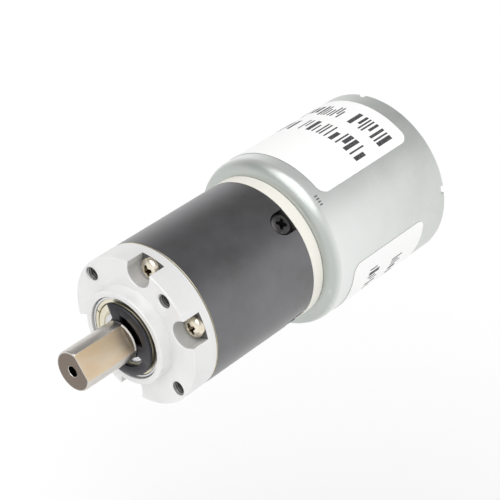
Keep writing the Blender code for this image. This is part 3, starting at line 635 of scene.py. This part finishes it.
def bevelled(target, width):
    """Round every edge sharper than 35 degrees."""
    step = target.modifiers.new("bevel", "BEVEL")
    step.width = width
    step.segments = 2
    step.limit_method = "ANGLE"
    step.angle_limit = math.radians(35)
    step.harden_normals = True
    return settled(target)


def darken(target, depth):
    """Store depth(centre) on each face, for `shade`: 0 lit to 1 dark, mostly painted shade, and -1 a
    painted highlight.
    """
    layer = target.data.attributes.new("depth", "FLOAT", "FACE")
    for face in target.data.polygons:
        layer.data[face.index].value = min(1.0, max(-1.0, depth(face.center)))
    return target


def piece(target, node, sharp=32):
    """Finish a shape: scale it to metres, and let it stand for its CAD node."""
    mesh = target.data
    mesh.transform(Matrix.Scale(MM, 4))
    mesh.materials.clear()
    mesh.materials.append(MATERIALS[SLOTS[node]])
    mesh.shade_smooth()
    mesh.set_sharp_from_angle(angle=math.radians(sharp))
    target.name = mesh.name = f"{node}_fine"
    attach(target, BODY_OF[node])
    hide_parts(node)
    return target


# --------------------------------------------------------------------- screws

def dome(head_r, head_h, side):
    """The crown of a pan head above its side, as (x, radius) points from edge to middle."""
    return [(side + (head_h - side) * math.sin(a), head_r * math.cos(a) ** 0.7)
            for a in [math.pi / 2 * k / 10 for k in range(10)]] + [(head_h, 0.0)]


def cross(reach, half, waist):
    """A four-armed outline with slightly tapered arms and filled corners."""
    points = []
    for k in range(4):
        c, s = round(math.cos(k * math.pi / 2)), round(math.sin(k * math.pi / 2))
        arm = [(reach, -half), (reach, half), (waist, waist)]
        points += [(y * c - z * s, y * s + z * c) for y, z in arm]
    return points


def pan_screw(node, head_r, head_h, side, shank_r, length, place):
    """A cross-head pan screw along local X, with its head above x = 0 and a thread below."""
    profile = [(-0.3, 0.0), (-0.3, shank_r), (0.0, shank_r), (0.0, head_r, 0.12)]
    head = solid(turned(profile + dome(head_r, head_h, side), SMALL))
    rod = solid(threaded(0.86 * shank_r, 0.14 * shank_r, 0.4, -length, -0.2, 20))
    combine(head, [rod], "UNION")
    depth = 0.78 * head_h
    recess = loft([(head_h - depth, cross(0.22 * head_r, 0.09 * head_r, 0.14 * head_r)),
                   (head_h - 0.30 * depth, cross(0.50 * head_r, 0.125 * head_r, 0.20 * head_r)),
                   (head_h + 1.0, cross(0.66 * head_r, 0.16 * head_r, 0.24 * head_r))])
    combine(head, [solid(recess)])
    reach = 0.68 * head_r

    # Painted shade down in the cross recess.
    def painted_shade_in_recess(c):
        off_axis = math.hypot(c.y, c.z)
        surface = side + (head_h - side) * math.sqrt(max(0.0, 1 - (off_axis / head_r) ** 2))
        return 0.9 if off_axis < reach and 0 < c.x < surface - 0.06 else 0.0

    darken(head, painted_shade_in_recess)
    head.data.transform(place)
    return piece(head, node, 30)


def build_screws():
    rng = random.Random(7)
    for k, angle in enumerate(POCKET_ANGLES, 1):
        node = f"flange_screw_{k}"
        seat = shifted(POCKET_FLOOR + 0.02, *polar(FLANGE_SCREW_PCD_R, angle))
        pan_screw(node, 2.15, 1.5, 0.5, 1.0, 6.4, seat @ about_axis(rng.uniform(0, math.pi / 2)))
    for k, angle in enumerate(TAP_ANGLES, 1):
        node = f"housing_screw_{k}"
        seat = radial_frame(angle, middle(node).x) @ shifted(12.75)
        pan_screw(node, 2.14, 2.0, 1.45, 1.0, 2.4, seat @ about_axis(rng.uniform(0, math.pi / 2)))
    for k in (1, 2):
        node = f"adapter_screw_{k}"
        centre, low = middle(node), x_range(node)[0]
        pan_screw(node, 2.6, 1.9, 0.7, 1.3, 6.3, shifted(low + 6.5, centre.y, centre.z))


# --------------------------------------------------------------------- flange

def pocket_outline(widen=0.0):
    """A screw pocket at angle 0: a slot with a round inner end, open outward."""
    half = POCKET_HALF_WIDTH + widen
    points = [(POCKET_END_R + half * math.cos(a), half * math.sin(a))
              for a in [math.pi * (0.5 + k / 24) for k in range(25)]]
    return points + [(BODY_R + 3, -half), (BODY_R + 3, half)]


def build_flange():
    back = x_range("ring_gear_housing")[1] + 0.12
    rear, front = x_range("front_flange")
    profile = [
        (0.0, BODY_R, 0.22), (back, BODY_R, 0.12), (back, SPIGOT_R), (rear, SPIGOT_R, 0.3),
        (rear, BEARING_SEAT_R, 0.1), (SEAT_LIP_BACK, BEARING_SEAT_R),
        (SEAT_LIP_BACK, SEAT_LIP_R, 0.1), (SEAT_LIP_FRONT, SEAT_LIP_R, 0.1), (SEAT_LIP_FRONT, 8.3),
        (front, 8.3, 0.12), (front, BOSS_R, 0.22), (0.0, BOSS_R)]
    flange = solid(turned(profile))
    for angle in POCKET_ANGLES:
        pocket = loft([(POCKET_FLOOR, pocket_outline()), (-POCKET_CHAMFER, pocket_outline()),
                       (1.0, pocket_outline(1.0 + POCKET_CHAMFER))])
        hole = [(-12.0, 0.0), (-12.0, 1.15), (POCKET_FLOOR + 1, 1.15), (POCKET_FLOOR + 1, 0.0)]
        combine(flange, [solid(pocket, about_axis(angle)),
                         solid(turned(hole, SMALL), shifted(0, *polar(FLANGE_SCREW_PCD_R, angle)))])
    for angle in TAP_ANGLES:
        tap = threaded(TAP_CORE_R, 0.24, 0.5, -TAP_DEPTH, 0.3, 28, 0.55)
        combine(flange, [solid(tap, about_axis(angle) @ shifted(0, TAP_PCD_R))])

    def painted_shade_in_holes(c):
        """Painted shade: pocket walls a little darker with depth, their floors and the threads a lot
        darker.
        """
        off_axis = math.hypot(c.y, c.z)
        if not (BOSS_R + 0.1 < off_axis < BODY_R - 0.1 and c.x < -0.2):
            return 0.0
        tap_y = tap_z = TAP_PCD_R * math.sqrt(0.5)
        from_tap = math.hypot(abs(c.y) - tap_y, abs(c.z) - tap_z)
        if from_tap > 1.8:
            return 0.9 if c.x < POCKET_FLOOR + 0.05 else -0.19 * c.x
        return 0.42 - 0.4 * c.x + 2.0 * (from_tap - 1.35)

    piece(darken(flange, painted_shade_in_holes), "front_flange")


# ------------------------------------------------ output shaft, clip, bearing

def build_shaft():
    rear, tip = x_range("output_shaft")
    clip_low, clip_high = x_range("shaft_retaining_clip")
    groove_back, groove_front = clip_low - 0.1, clip_high + 0.1
    hole_end = tip - CENTRE_HOLE_DEPTH
    profile = [
        (hole_end - CENTRE_HOLE_R, 0.0), (hole_end, CENTRE_HOLE_R), (tip, CENTRE_HOLE_R, 0.18),
        (tip, SHAFT_R, 0.45), (groove_front, SHAFT_R, 0.08), (groove_front, SHAFT_GROOVE_R),
        (groove_back, SHAFT_GROOVE_R), (groove_back, SHAFT_R, 0.08), (SHAFT_STEP, SHAFT_R, 0.2),
        (SHAFT_STEP, SHAFT_STEP_R), (rear, SHAFT_STEP_R, 0.2), (rear, 0.0)]
    shaft = solid(turned(profile, 128))
    flat = box((FLAT_END, FLAT_FROM_AXIS, -8), (tip + 1, 8, 8))
    combine(shaft, [solid(flat, about_axis(FLAT_ANGLE))])
    lean = math.acos(FLAT_FROM_AXIS / SHAFT_R) / 2
    edge_from_axis = SHAFT_R * math.cos(lean) - EDGE_BREAK
    for side in (-1, 1):
        edge = box((FLAT_END, edge_from_axis, -8), (tip + 1, 8, 8))
        combine(shaft, [solid(edge, about_axis(FLAT_ANGLE + side * lean))])
    slope = Matrix.Rotation(math.radians(-45), 4, "Z")
    at_tip = about_axis(FLAT_ANGLE) @ shifted(tip, FLAT_FROM_AXIS) @ slope
    combine(shaft, [solid(box((-3, -0.1, -8), (3, 3, 8)), at_tip)])

    def shaft_painted_shade_and_highlight(c):
        """Painted shade in the centre hole, on the groove and the shaft behind it, and on the flat's end
        step; a painted highlight on the round part between the groove and the flat.
        """
        in_centre_hole = math.hypot(c.y, c.z) < CENTRE_HOLE_R and c.x < tip - 0.05
        if in_centre_hole or c.x < groove_front + 0.05:
            return 1.0
        if abs(c.x - FLAT_END) < 0.01:
            return 0.8
        return -1.0 if c.x < FLAT_END else 0.0

    piece(darken(shaft, shaft_painted_shade_and_highlight), "output_shaft", 24)


def clip_outline():
    """An E-shaped clip: a band with a mouth, two end lugs and a middle lug."""
    lug_r, window_r = 3.45, 5.5
    mouth, lug_end, middle_lug = math.radians(58), math.radians(84), math.radians(164)
    start = CLIP_MOUTH_ANGLE
    points = arc(CLIP_R, start + mouth, start + TAU - mouth, 72)
    points += arc(lug_r, start + TAU - mouth, start + TAU - lug_end, 6)
    points += arc(window_r, start + TAU - lug_end, start + TAU - middle_lug, 18)
    points += arc(lug_r, start + TAU - middle_lug, start + middle_lug, 8)
    points += arc(window_r, start + middle_lug, start + lug_end, 18)
    points += arc(lug_r, start + lug_end, start + mouth, 6)
    return points


def build_front_bearing():
    rear, front = x_range("front_bearing_outer_ring")
    outer = [(front, BEARING_SEAT_R, 0.25), (rear, BEARING_SEAT_R, 0.3), (rear, 7.0),
             (rear + 1.6, 7.0), (rear + 2.5, 7.3), (rear + 3.4, 7.0), (front - 0.6, 7.0),
             (front - 0.6, 7.72), (front, 7.72, 0.1)]
    piece(solid(turned(outer)), "front_bearing_outer_ring")
    inner = [(front, 4.03, 0.25), (rear, 4.03, 0.25), (rear, 5.1, 0.1), (rear + 1.6, 5.1),
             (rear + 2.5, 4.75), (rear + 3.4, 5.1), (front, 5.1, 0.12)]
    piece(solid(turned(inner)), "front_bearing_inner_ring")
    face = front - 0.12
    shield = [(face - 0.45, 7.68), (face - 0.45, 5.22), (face - 0.2, 5.22, 0.06),
              (face - 0.2, 5.45, 0.06), (face, 5.55, 0.08), (face, 6.75, 0.08), (face - 0.3, 6.82),
              (face - 0.3, 6.95), (face - 0.02, 7.02, 0.06), (face - 0.02, 7.68, 0.08)]
    disc = solid(turned(shield))
    for angle in (math.radians(152), math.radians(186)):
        gap = box((face - 0.3, 6.9, -0.12), (face + 1, 8, 0.12))
        combine(disc, [solid(gap, about_axis(angle))])

    # Painted shade in the shield's outer groove.
    def painted_shade_in_groove(c):
        return 0.9 if c.x < face - 0.22 and math.hypot(c.y, c.z) > 6.7 else 0.0

    piece(darken(disc, painted_shade_in_groove), "front_bearing_shield")


def build_output_group():
    build_shaft()
    clip = solid(prism(clip_outline(), *x_range("shaft_retaining_clip")))
    piece(bevelled(clip, 0.09), "shaft_retaining_clip")
    build_front_bearing()


# --------------------------------------------------------------- gearbox tube

def ring_tooth_gaps(turn):
    """The bore between the ring gear's teeth, as an outline of involute gaps."""
    pitch_r = MODULE * RING_TEETH / 2
    base_r = pitch_r * math.cos(PRESSURE_ANGLE)
    pitch_half = math.pi / (2 * RING_TEETH) + BACKLASH / (2 * pitch_r)

    def half_angle(radius):
        slope = math.acos(min(1.0, base_r / radius))
        roll = math.tan(PRESSURE_ANGLE) - PRESSURE_ANGLE - math.tan(slope) + slope
        return pitch_half + roll

    low, high = pitch_r - ADDENDUM, pitch_r + DEDENDUM
    radii = [low + (high - low) * k / 4 for k in range(5)]
    points = []
    for k in range(RING_TEETH):
        centre = turn + TAU * k / RING_TEETH
        points += [polar(r, centre - half_angle(r)) for r in radii]
        points += [polar(r, centre + half_angle(r)) for r in reversed(radii)]
    return points


def housing_slot(widen=0.0):
    """A screw's slot round local (0, 0), open towards the tube's rear edge."""
    half = HOUSING_SLOT_HALF_WIDTH + widen
    points = [(half * math.cos(a), half * math.sin(a))
              for a in [math.pi * (0.5 + k / 20) for k in range(21)]]
    return points + [(6.0, -half), (6.0, half)]


def build_tube():
    back, front = x_range("ring_gear_housing")
    tube = solid(turned([(front, 0.0), (front, BODY_R, 0.25), (back, BODY_R, 0.15), (back, 0.0)]))
    tip_r = MODULE * RING_TEETH / 2 - ADDENDUM - 0.05
    steps = [(back - 1, 0.0), (back - 1, TUBE_REAR_BORE_R), (TEETH_BACK, TUBE_REAR_BORE_R),
             (TEETH_BACK, tip_r), (TEETH_FRONT, tip_r), (TEETH_FRONT, SPIGOT_R + 0.1),
             (front + 1, SPIGOT_R + 0.1), (front + 1, 0.0)]
    combine(tube, [solid(turned(steps))])
    teeth = prism(ring_tooth_gaps(math.pi / 2), TEETH_BACK - 0.3, TEETH_FRONT + 0.2)
    combine(tube, [solid(teeth)])
    for angle in POCKET_ANGLES:
        hole = threaded(0.92, 0.1, 0.4, -11.5, front + 1, 16)
        combine(tube, [solid(hole, shifted(0, *polar(FLANGE_SCREW_PCD_R, angle)))])
    screw_x = middle("housing_screw_1").x
    for angle in TAP_ANGLES:
        slot = loft([(11.5, housing_slot()), (14.85, housing_slot()), (17.0, housing_slot(2.0))])
        combine(tube, [solid(slot, radial_frame(angle, screw_x))])
    piece(tube, "ring_gear_housing")


def build_adapter():
    back, front = x_range("adapter_plate")
    ring_front = x_range("ring_gear_housing")[0] - 0.04
    profile = [
        (front, ADAPTER_SPIGOT_R, 0.3), (ring_front, ADAPTER_SPIGOT_R), (ring_front, BODY_R - 0.25),
        (ring_front, BODY_R, 0.15), (back - 0.25, BODY_R, 0.15), (back - 0.25, MOTOR_BOSS_R + 0.1),
        (-32.2, MOTOR_BOSS_R + 0.1), (-32.2, 4.0), (-29.0, 4.0, 0.2), (-29.0, ADAPTER_BORE_R, 0.3),
        (front, ADAPTER_BORE_R, 0.2)]
    plate = solid(turned(profile))
    for k in (1, 2):
        node = f"adapter_screw_{k}"
        centre, seat = middle(node), x_range(node)[0] + 6.25
        stepped = [(-26.0, 0.0), (-26.0, 2.85), (seat, 2.85), (seat, 1.45), (-37.0, 1.45),
                   (-37.0, 0.0)]
        combine(plate, [solid(turned(stepped, SMALL), shifted(0, centre.y, centre.z))])
    screw_x = middle("housing_screw_1").x
    for angle in TAP_ANGLES:
        tap = threaded(0.95, 0.1, 0.4, 10.0, 14.0, 16)
        combine(plate, [solid(tap, radial_frame(angle, screw_x))])

    def painted_shade_behind_slots(c):
        """Painted shade on the spigot and on what the tube's slots show of the ring's front face."""
        return 0.95 if c.x > ring_front - 0.01 and math.hypot(c.y, c.z) < BODY_R - 0.3 else 0.0

    piece(darken(plate, painted_shade_behind_slots), "adapter_plate")


# ---------------------------------------------------------------------- motor

def quarter(centre_x, centre_r, radius):
    """A quarter round from a flat front to a cylinder, as (x, radius) points."""
    return [(centre_x + x, centre_r + r) for x, r in arc(radius, 0.0, math.pi / 2, 14)]


def build_can():
    back, boss_front = x_range("motor_can")
    flat_r, shoulder_end = CAN_R - CAN_SHOULDER_R, CAN_FRONT - CAN_SHOULDER_R
    outside = quarter(shoulder_end, flat_r, CAN_SHOULDER_R)
    inside = quarter(shoulder_end, flat_r, CAN_SHOULDER_R - CAN_WALL)
    profile = [(boss_front, 2.6, 0.15), (boss_front, MOTOR_BOSS_R, 0.3), (CAN_FRONT, MOTOR_BOSS_R)]
    profile += [(CAN_FRONT, flat_r - 0.3)] + outside + [(shoulder_end - 0.4, CAN_R)]
    profile += [(back, CAN_R, 0.3), (back, CAN_R - CAN_WALL, 0.3)] + inside[::-1]
    profile += [(CAN_FRONT - CAN_WALL, 4.0), (-33.4, 4.0), (-33.4, 2.6)]
    can = solid(turned(profile))
    for k in (1, 2):
        centre = middle(f"adapter_screw_{k}")
        hole = threaded(1.2, 0.15, 0.5, CAN_FRONT - 2, CAN_FRONT + 1, 20)
        combine(can, [solid(hole, shifted(0, centre.y, centre.z))])
    for angle in CRIMP_ANGLES:
        notch = box((back - 1, 15, -0.85), (back + 1.0, 19, 0.85))
        combine(can, [solid(notch, about_axis(angle))])
    for k in range(4):
        bar = box((MARK_BACK, CAN_R - MARK_DEPTH, -0.14), (MARK_FRONT, CAN_R + 1, 0.14))
        combine(can, [solid(bar, about_axis(math.radians(40.6 + 2.0 * k)))])

    def in_mark(c):
        """The floors and walls of the four stamped bars."""
        below = CAN_R - math.hypot(c.y, c.z)
        return 0.8 if MARK_BACK - 0.1 < c.x < MARK_FRONT + 0.05 and 0.05 < below < 0.2 else 0.0

    piece(darken(can, in_mark), "motor_can", 28)


def build_end_cap():
    """The moulded rear cap: ribs, a bearing boss and a slot for each terminal."""
    back, front = x_range("motor_end_cap")
    profile = [
        (front, 4.1), (front, CAP_R, 0.3), (CAP_FACE, CAP_R, 0.3), (CAP_FACE, CAP_RIB_R, 0.2),
        (CAP_FACE + 0.8, 14.2), (CAP_FACE + 0.8, 7.4), (CAP_FACE, 7.0, 0.2), (CAP_FACE, 5.7),
        (back + 0.2, 5.2, 0.5), (back, 3.0, 0.4), (back + 0.9, 2.2, 0.1), (-72.7, 2.2), (-72.7, 4.1)]
    cap = solid(turned(profile))
    for degrees in range(30, 360, 60):
        rib = box((CAP_FACE - 0.02, 5.2, -0.45), (CAP_FACE + 1.2, CAP_RIB_R, 0.45))
        combine(cap, [solid(rib, about_axis(math.radians(degrees)))], "UNION")
    for angle in (0.0, math.pi):
        pad = box((CAP_FACE - 0.01, 9.4, -2.6), (CAP_FACE + 1.2, 12.6, 2.6))
        slot = box((-71, TERMINAL_R - 0.4, -1.6), (-65, TERMINAL_R + 0.4, 1.6))
        combine(cap, [solid(pad, about_axis(angle))], "UNION")
        combine(cap, [solid(slot, about_axis(angle))])
    piece(cap, "motor_end_cap", 28)


def build_terminal(node, angle):
    """A flat tab with a round end and an eye, through the end cap."""
    back, front = x_range(node)
    half, half_thick, eye_r = 1.4, 0.25, 0.7
    end = back + half
    tab = [(front, -half), (front, half)]
    tab += [(end - half * math.cos(a), half * math.sin(a))
            for a in [math.pi * (0.5 - k / 20) for k in range(21)]]
    eye = [(end + eye_r * math.cos(a), eye_r * math.sin(a)) for a in [TAU * k / 24 for k in range(24)]]
    swap_xy = Matrix(((0, 1, 0, 0), (1, 0, 0, 0), (0, 0, 1, 0), (0, 0, 0, 1)))
    tab_shape = prism(tab, TERMINAL_R - half_thick, TERMINAL_R + half_thick, [eye])
    plate = solid(tab_shape, about_axis(angle) @ swap_xy)
    turned_in = bmesh.new()       # swapping two axes turns the faces inside out
    turned_in.from_mesh(plate.data)
    bmesh.ops.recalc_face_normals(turned_in, faces=turned_in.faces)
    turned_in.to_mesh(plate.data)
    turned_in.free()
    piece(bevelled(plate, 0.08), node)


def build_rear():
    build_end_cap()
    for k, angle in enumerate((0.0, math.pi), 1):
        build_terminal(f"motor_terminal_{k}", angle)
    low, high = x_range("motor_rear_bushing")
    sleeve = [(high, 1.6, 0.15), (high, 3.9, 0.3), (low, 3.9, 0.3), (low, 1.6, 0.3)]
    piece(solid(turned(sleeve, 96)), "motor_rear_bushing")
    low, high = x_range("rotor_shaft")
    rod = [(high, 0.0), (high, 1.5, 0.3), (low, 1.5, 0.4), (low, 0.0)]
    piece(solid(turned(rod, 64)), "rotor_shaft")


# --------------------------------------------------------------------- labels

def words(rng, start, end, low, high):
    """Thin bars of uneven height, in groups, where print would be, as (s0, s1, t0, t1)."""
    blocks, s = [], start
    while s < end - 3:
        for _ in range(rng.randint(6, 13)):
            width = rng.choice((0.4, 0.4, 0.65, 1.0))
            if s + width > end:
                break
            foot, head = rng.choice(((0.0, 1.0), (0.0, 1.0), (0.0, 0.7), (0.3, 1.0)))
            blocks.append((s, s + width, low + foot * (high - low), low + head * (high - low)))
            s += width + rng.choice((0.35, 0.5, 0.75))
        s += 1.8
    return blocks


def build_label(node, start, end, x_low, x_high, blocks):
    """A thin curved sheet with rounded corners. Faces inside a block are inked."""
    inner, outer, corner = CAN_R - 0.03, CAN_R + LABEL_LIFT, LABEL_CORNER
    length = (end - start) * outer
    rounding = [corner * (1 - math.cos(math.pi / 2 * k / 8)) for k in range(9)]
    stations = [length * k / 120 for k in range(121)]
    stations += rounding + [length - s for s in rounding]
    stations += [s for block in blocks for s in block[:2]]
    stations = sorted({round(s, 4) for s in stations})
    levels = sorted({x_low + corner, x_high - corner} | {t for block in blocks for t in block[2:]})
    bm = bmesh.new()
    ink = bm.loops.layers.float_color.new("ink")
    rows = []
    for s in stations:
        short = min(corner, max(0.0, corner - min(s, length - s)))
        inset = corner - math.sqrt(corner ** 2 - short ** 2)
        line = [x_low + inset, *levels, x_high - inset]
        angle = start + s / outer
        rows.append([[bm.verts.new((x, *polar(r, angle))) for x in line] for r in (outer, inner)])

    def inked(s, t):
        return any(a < s < b and c < t < d for a, b, c, d in blocks)

    edges = [x_low, *levels, x_high]
    for (top, under), (top2, under2), s, s2 in zip(rows, rows[1:], stations, stations[1:]):
        for k in range(len(top) - 1):
            face = bm.faces.new((top[k], top[k + 1], top2[k + 1], top2[k]))
            dark = 1.0 if inked((s + s2) / 2, (edges[k] + edges[k + 1]) / 2) else 0.0
            for corner_loop in face.loops:
                corner_loop[ink] = (dark, dark, dark, 1.0)
            bm.faces.new((under[k], under2[k], under2[k + 1], under[k + 1]))
        for k in (0, -1):
            bm.faces.new((top[k], top2[k], under2[k], under[k]))
    for top, under in (rows[0], rows[-1]):
        for k in range(len(top) - 1):
            bm.faces.new((top[k], top[k + 1], under[k + 1], under[k]))
    piece(solid(bm), node)


def build_labels():
    rng = random.Random(11)
    start, end = math.radians(45), math.radians(191)
    length = (end - start) * CAN_R
    low, high = x_range("rating_label")
    lines = words(rng, 1.9, length - 3, -56.4, -52.2) + words(rng, 1.9, length - 6, -63.4, -59.2)
    build_label("rating_label", start, end, low, high, lines)
    low, high = x_range("side_label")
    small = words(rng, 8.5, 15.5, -50.2, -47.0) + words(rng, 6.0, 15.5, -57.6, -54.4)
    build_label("side_label", math.radians(-67), math.radians(-7), low, high, small)


# ---------------------------------------------------------------------- stage

def build_camera():
    data = bpy.data.cameras.new("camera")
    data.lens = CAMERA_LENS
    data.sensor_width = 36.0
    data.clip_start = 0.01
    made = bpy.data.objects.new("camera", data)
    back = (Vector(CAMERA_EYE) - Vector(CAMERA_TARGET)).normalized()
    right = Vector(CAMERA_UP).cross(back).normalized()
    made.matrix_world = Matrix((right, back.cross(right), back)).transposed().to_4x4()
    made.location = CAMERA_EYE
    bpy.context.scene.collection.objects.link(made)
    bpy.context.scene.camera = made


def sky():
    """Soft studio surroundings: bright near the floor and dimmer overhead."""
    world = bpy.data.worlds.new("studio")
    world.use_nodes = True
    tree = world.node_tree
    place = tree.nodes.new("ShaderNodeTexCoord")
    parts = tree.nodes.new("ShaderNodeSeparateXYZ")
    fade = tree.nodes.new("ShaderNodeMapRange")
    fade.interpolation_type = "SMOOTHSTEP"
    low, high = math.sin(math.radians(8)), math.sin(math.radians(48))
    for key, value in (("From Min", low), ("From Max", high), ("To Min", 1.0), ("To Max", 0.36)):
        fade.inputs[key].default_value = value
    tree.links.new(place.outputs["Generated"], parts.inputs[0])
    tree.links.new(parts.outputs["Z"], fade.inputs["Value"])
    tree.links.new(fade.outputs[0], tree.nodes["Background"].inputs["Strength"])
    tree.nodes["Background"].inputs["Color"].default_value = (1.0, 1.0, 1.0, 1.0)
    return world


def lamp(name, direction, spread, strength):
    """A wide soft light from far away, shining from this direction."""
    data = bpy.data.lights.new(name, "SUN")
    data.energy = strength
    data.angle = math.radians(spread)
    made = bpy.data.objects.new(name, data)
    made.rotation_euler = Vector(direction).to_track_quat("Z", "Y").to_euler()
    bpy.context.scene.collection.objects.link(made)


def build_stage():
    bm = bmesh.new()
    bmesh.ops.create_circle(bm, cap_ends=True, radius=4.0, segments=64)
    mesh = bpy.data.meshes.new("floor")
    bm.to_mesh(mesh)
    bm.free()
    mesh.materials.append(floor_white())
    floor = bpy.data.objects.new("floor", mesh)
    floor.location.z = FLOOR_Z
    bpy.context.scene.collection.objects.link(floor)
    bpy.context.scene.world = sky()
    lamp("key", (0.35, 0.25, 0.9), 70, 2.0)
    bpy.context.scene.view_settings.view_transform = "Standard"


def main():
    build_camera()
    build_stage()
    build_flange()
    build_screws()
    build_output_group()
    build_tube()
    build_adapter()
    build_can()
    build_rear()
    build_labels()
    for name, node in frame["nodes"].items():
        node.data.materials.clear()
        node.data.materials.append(MATERIALS[SLOTS[name]])


main()
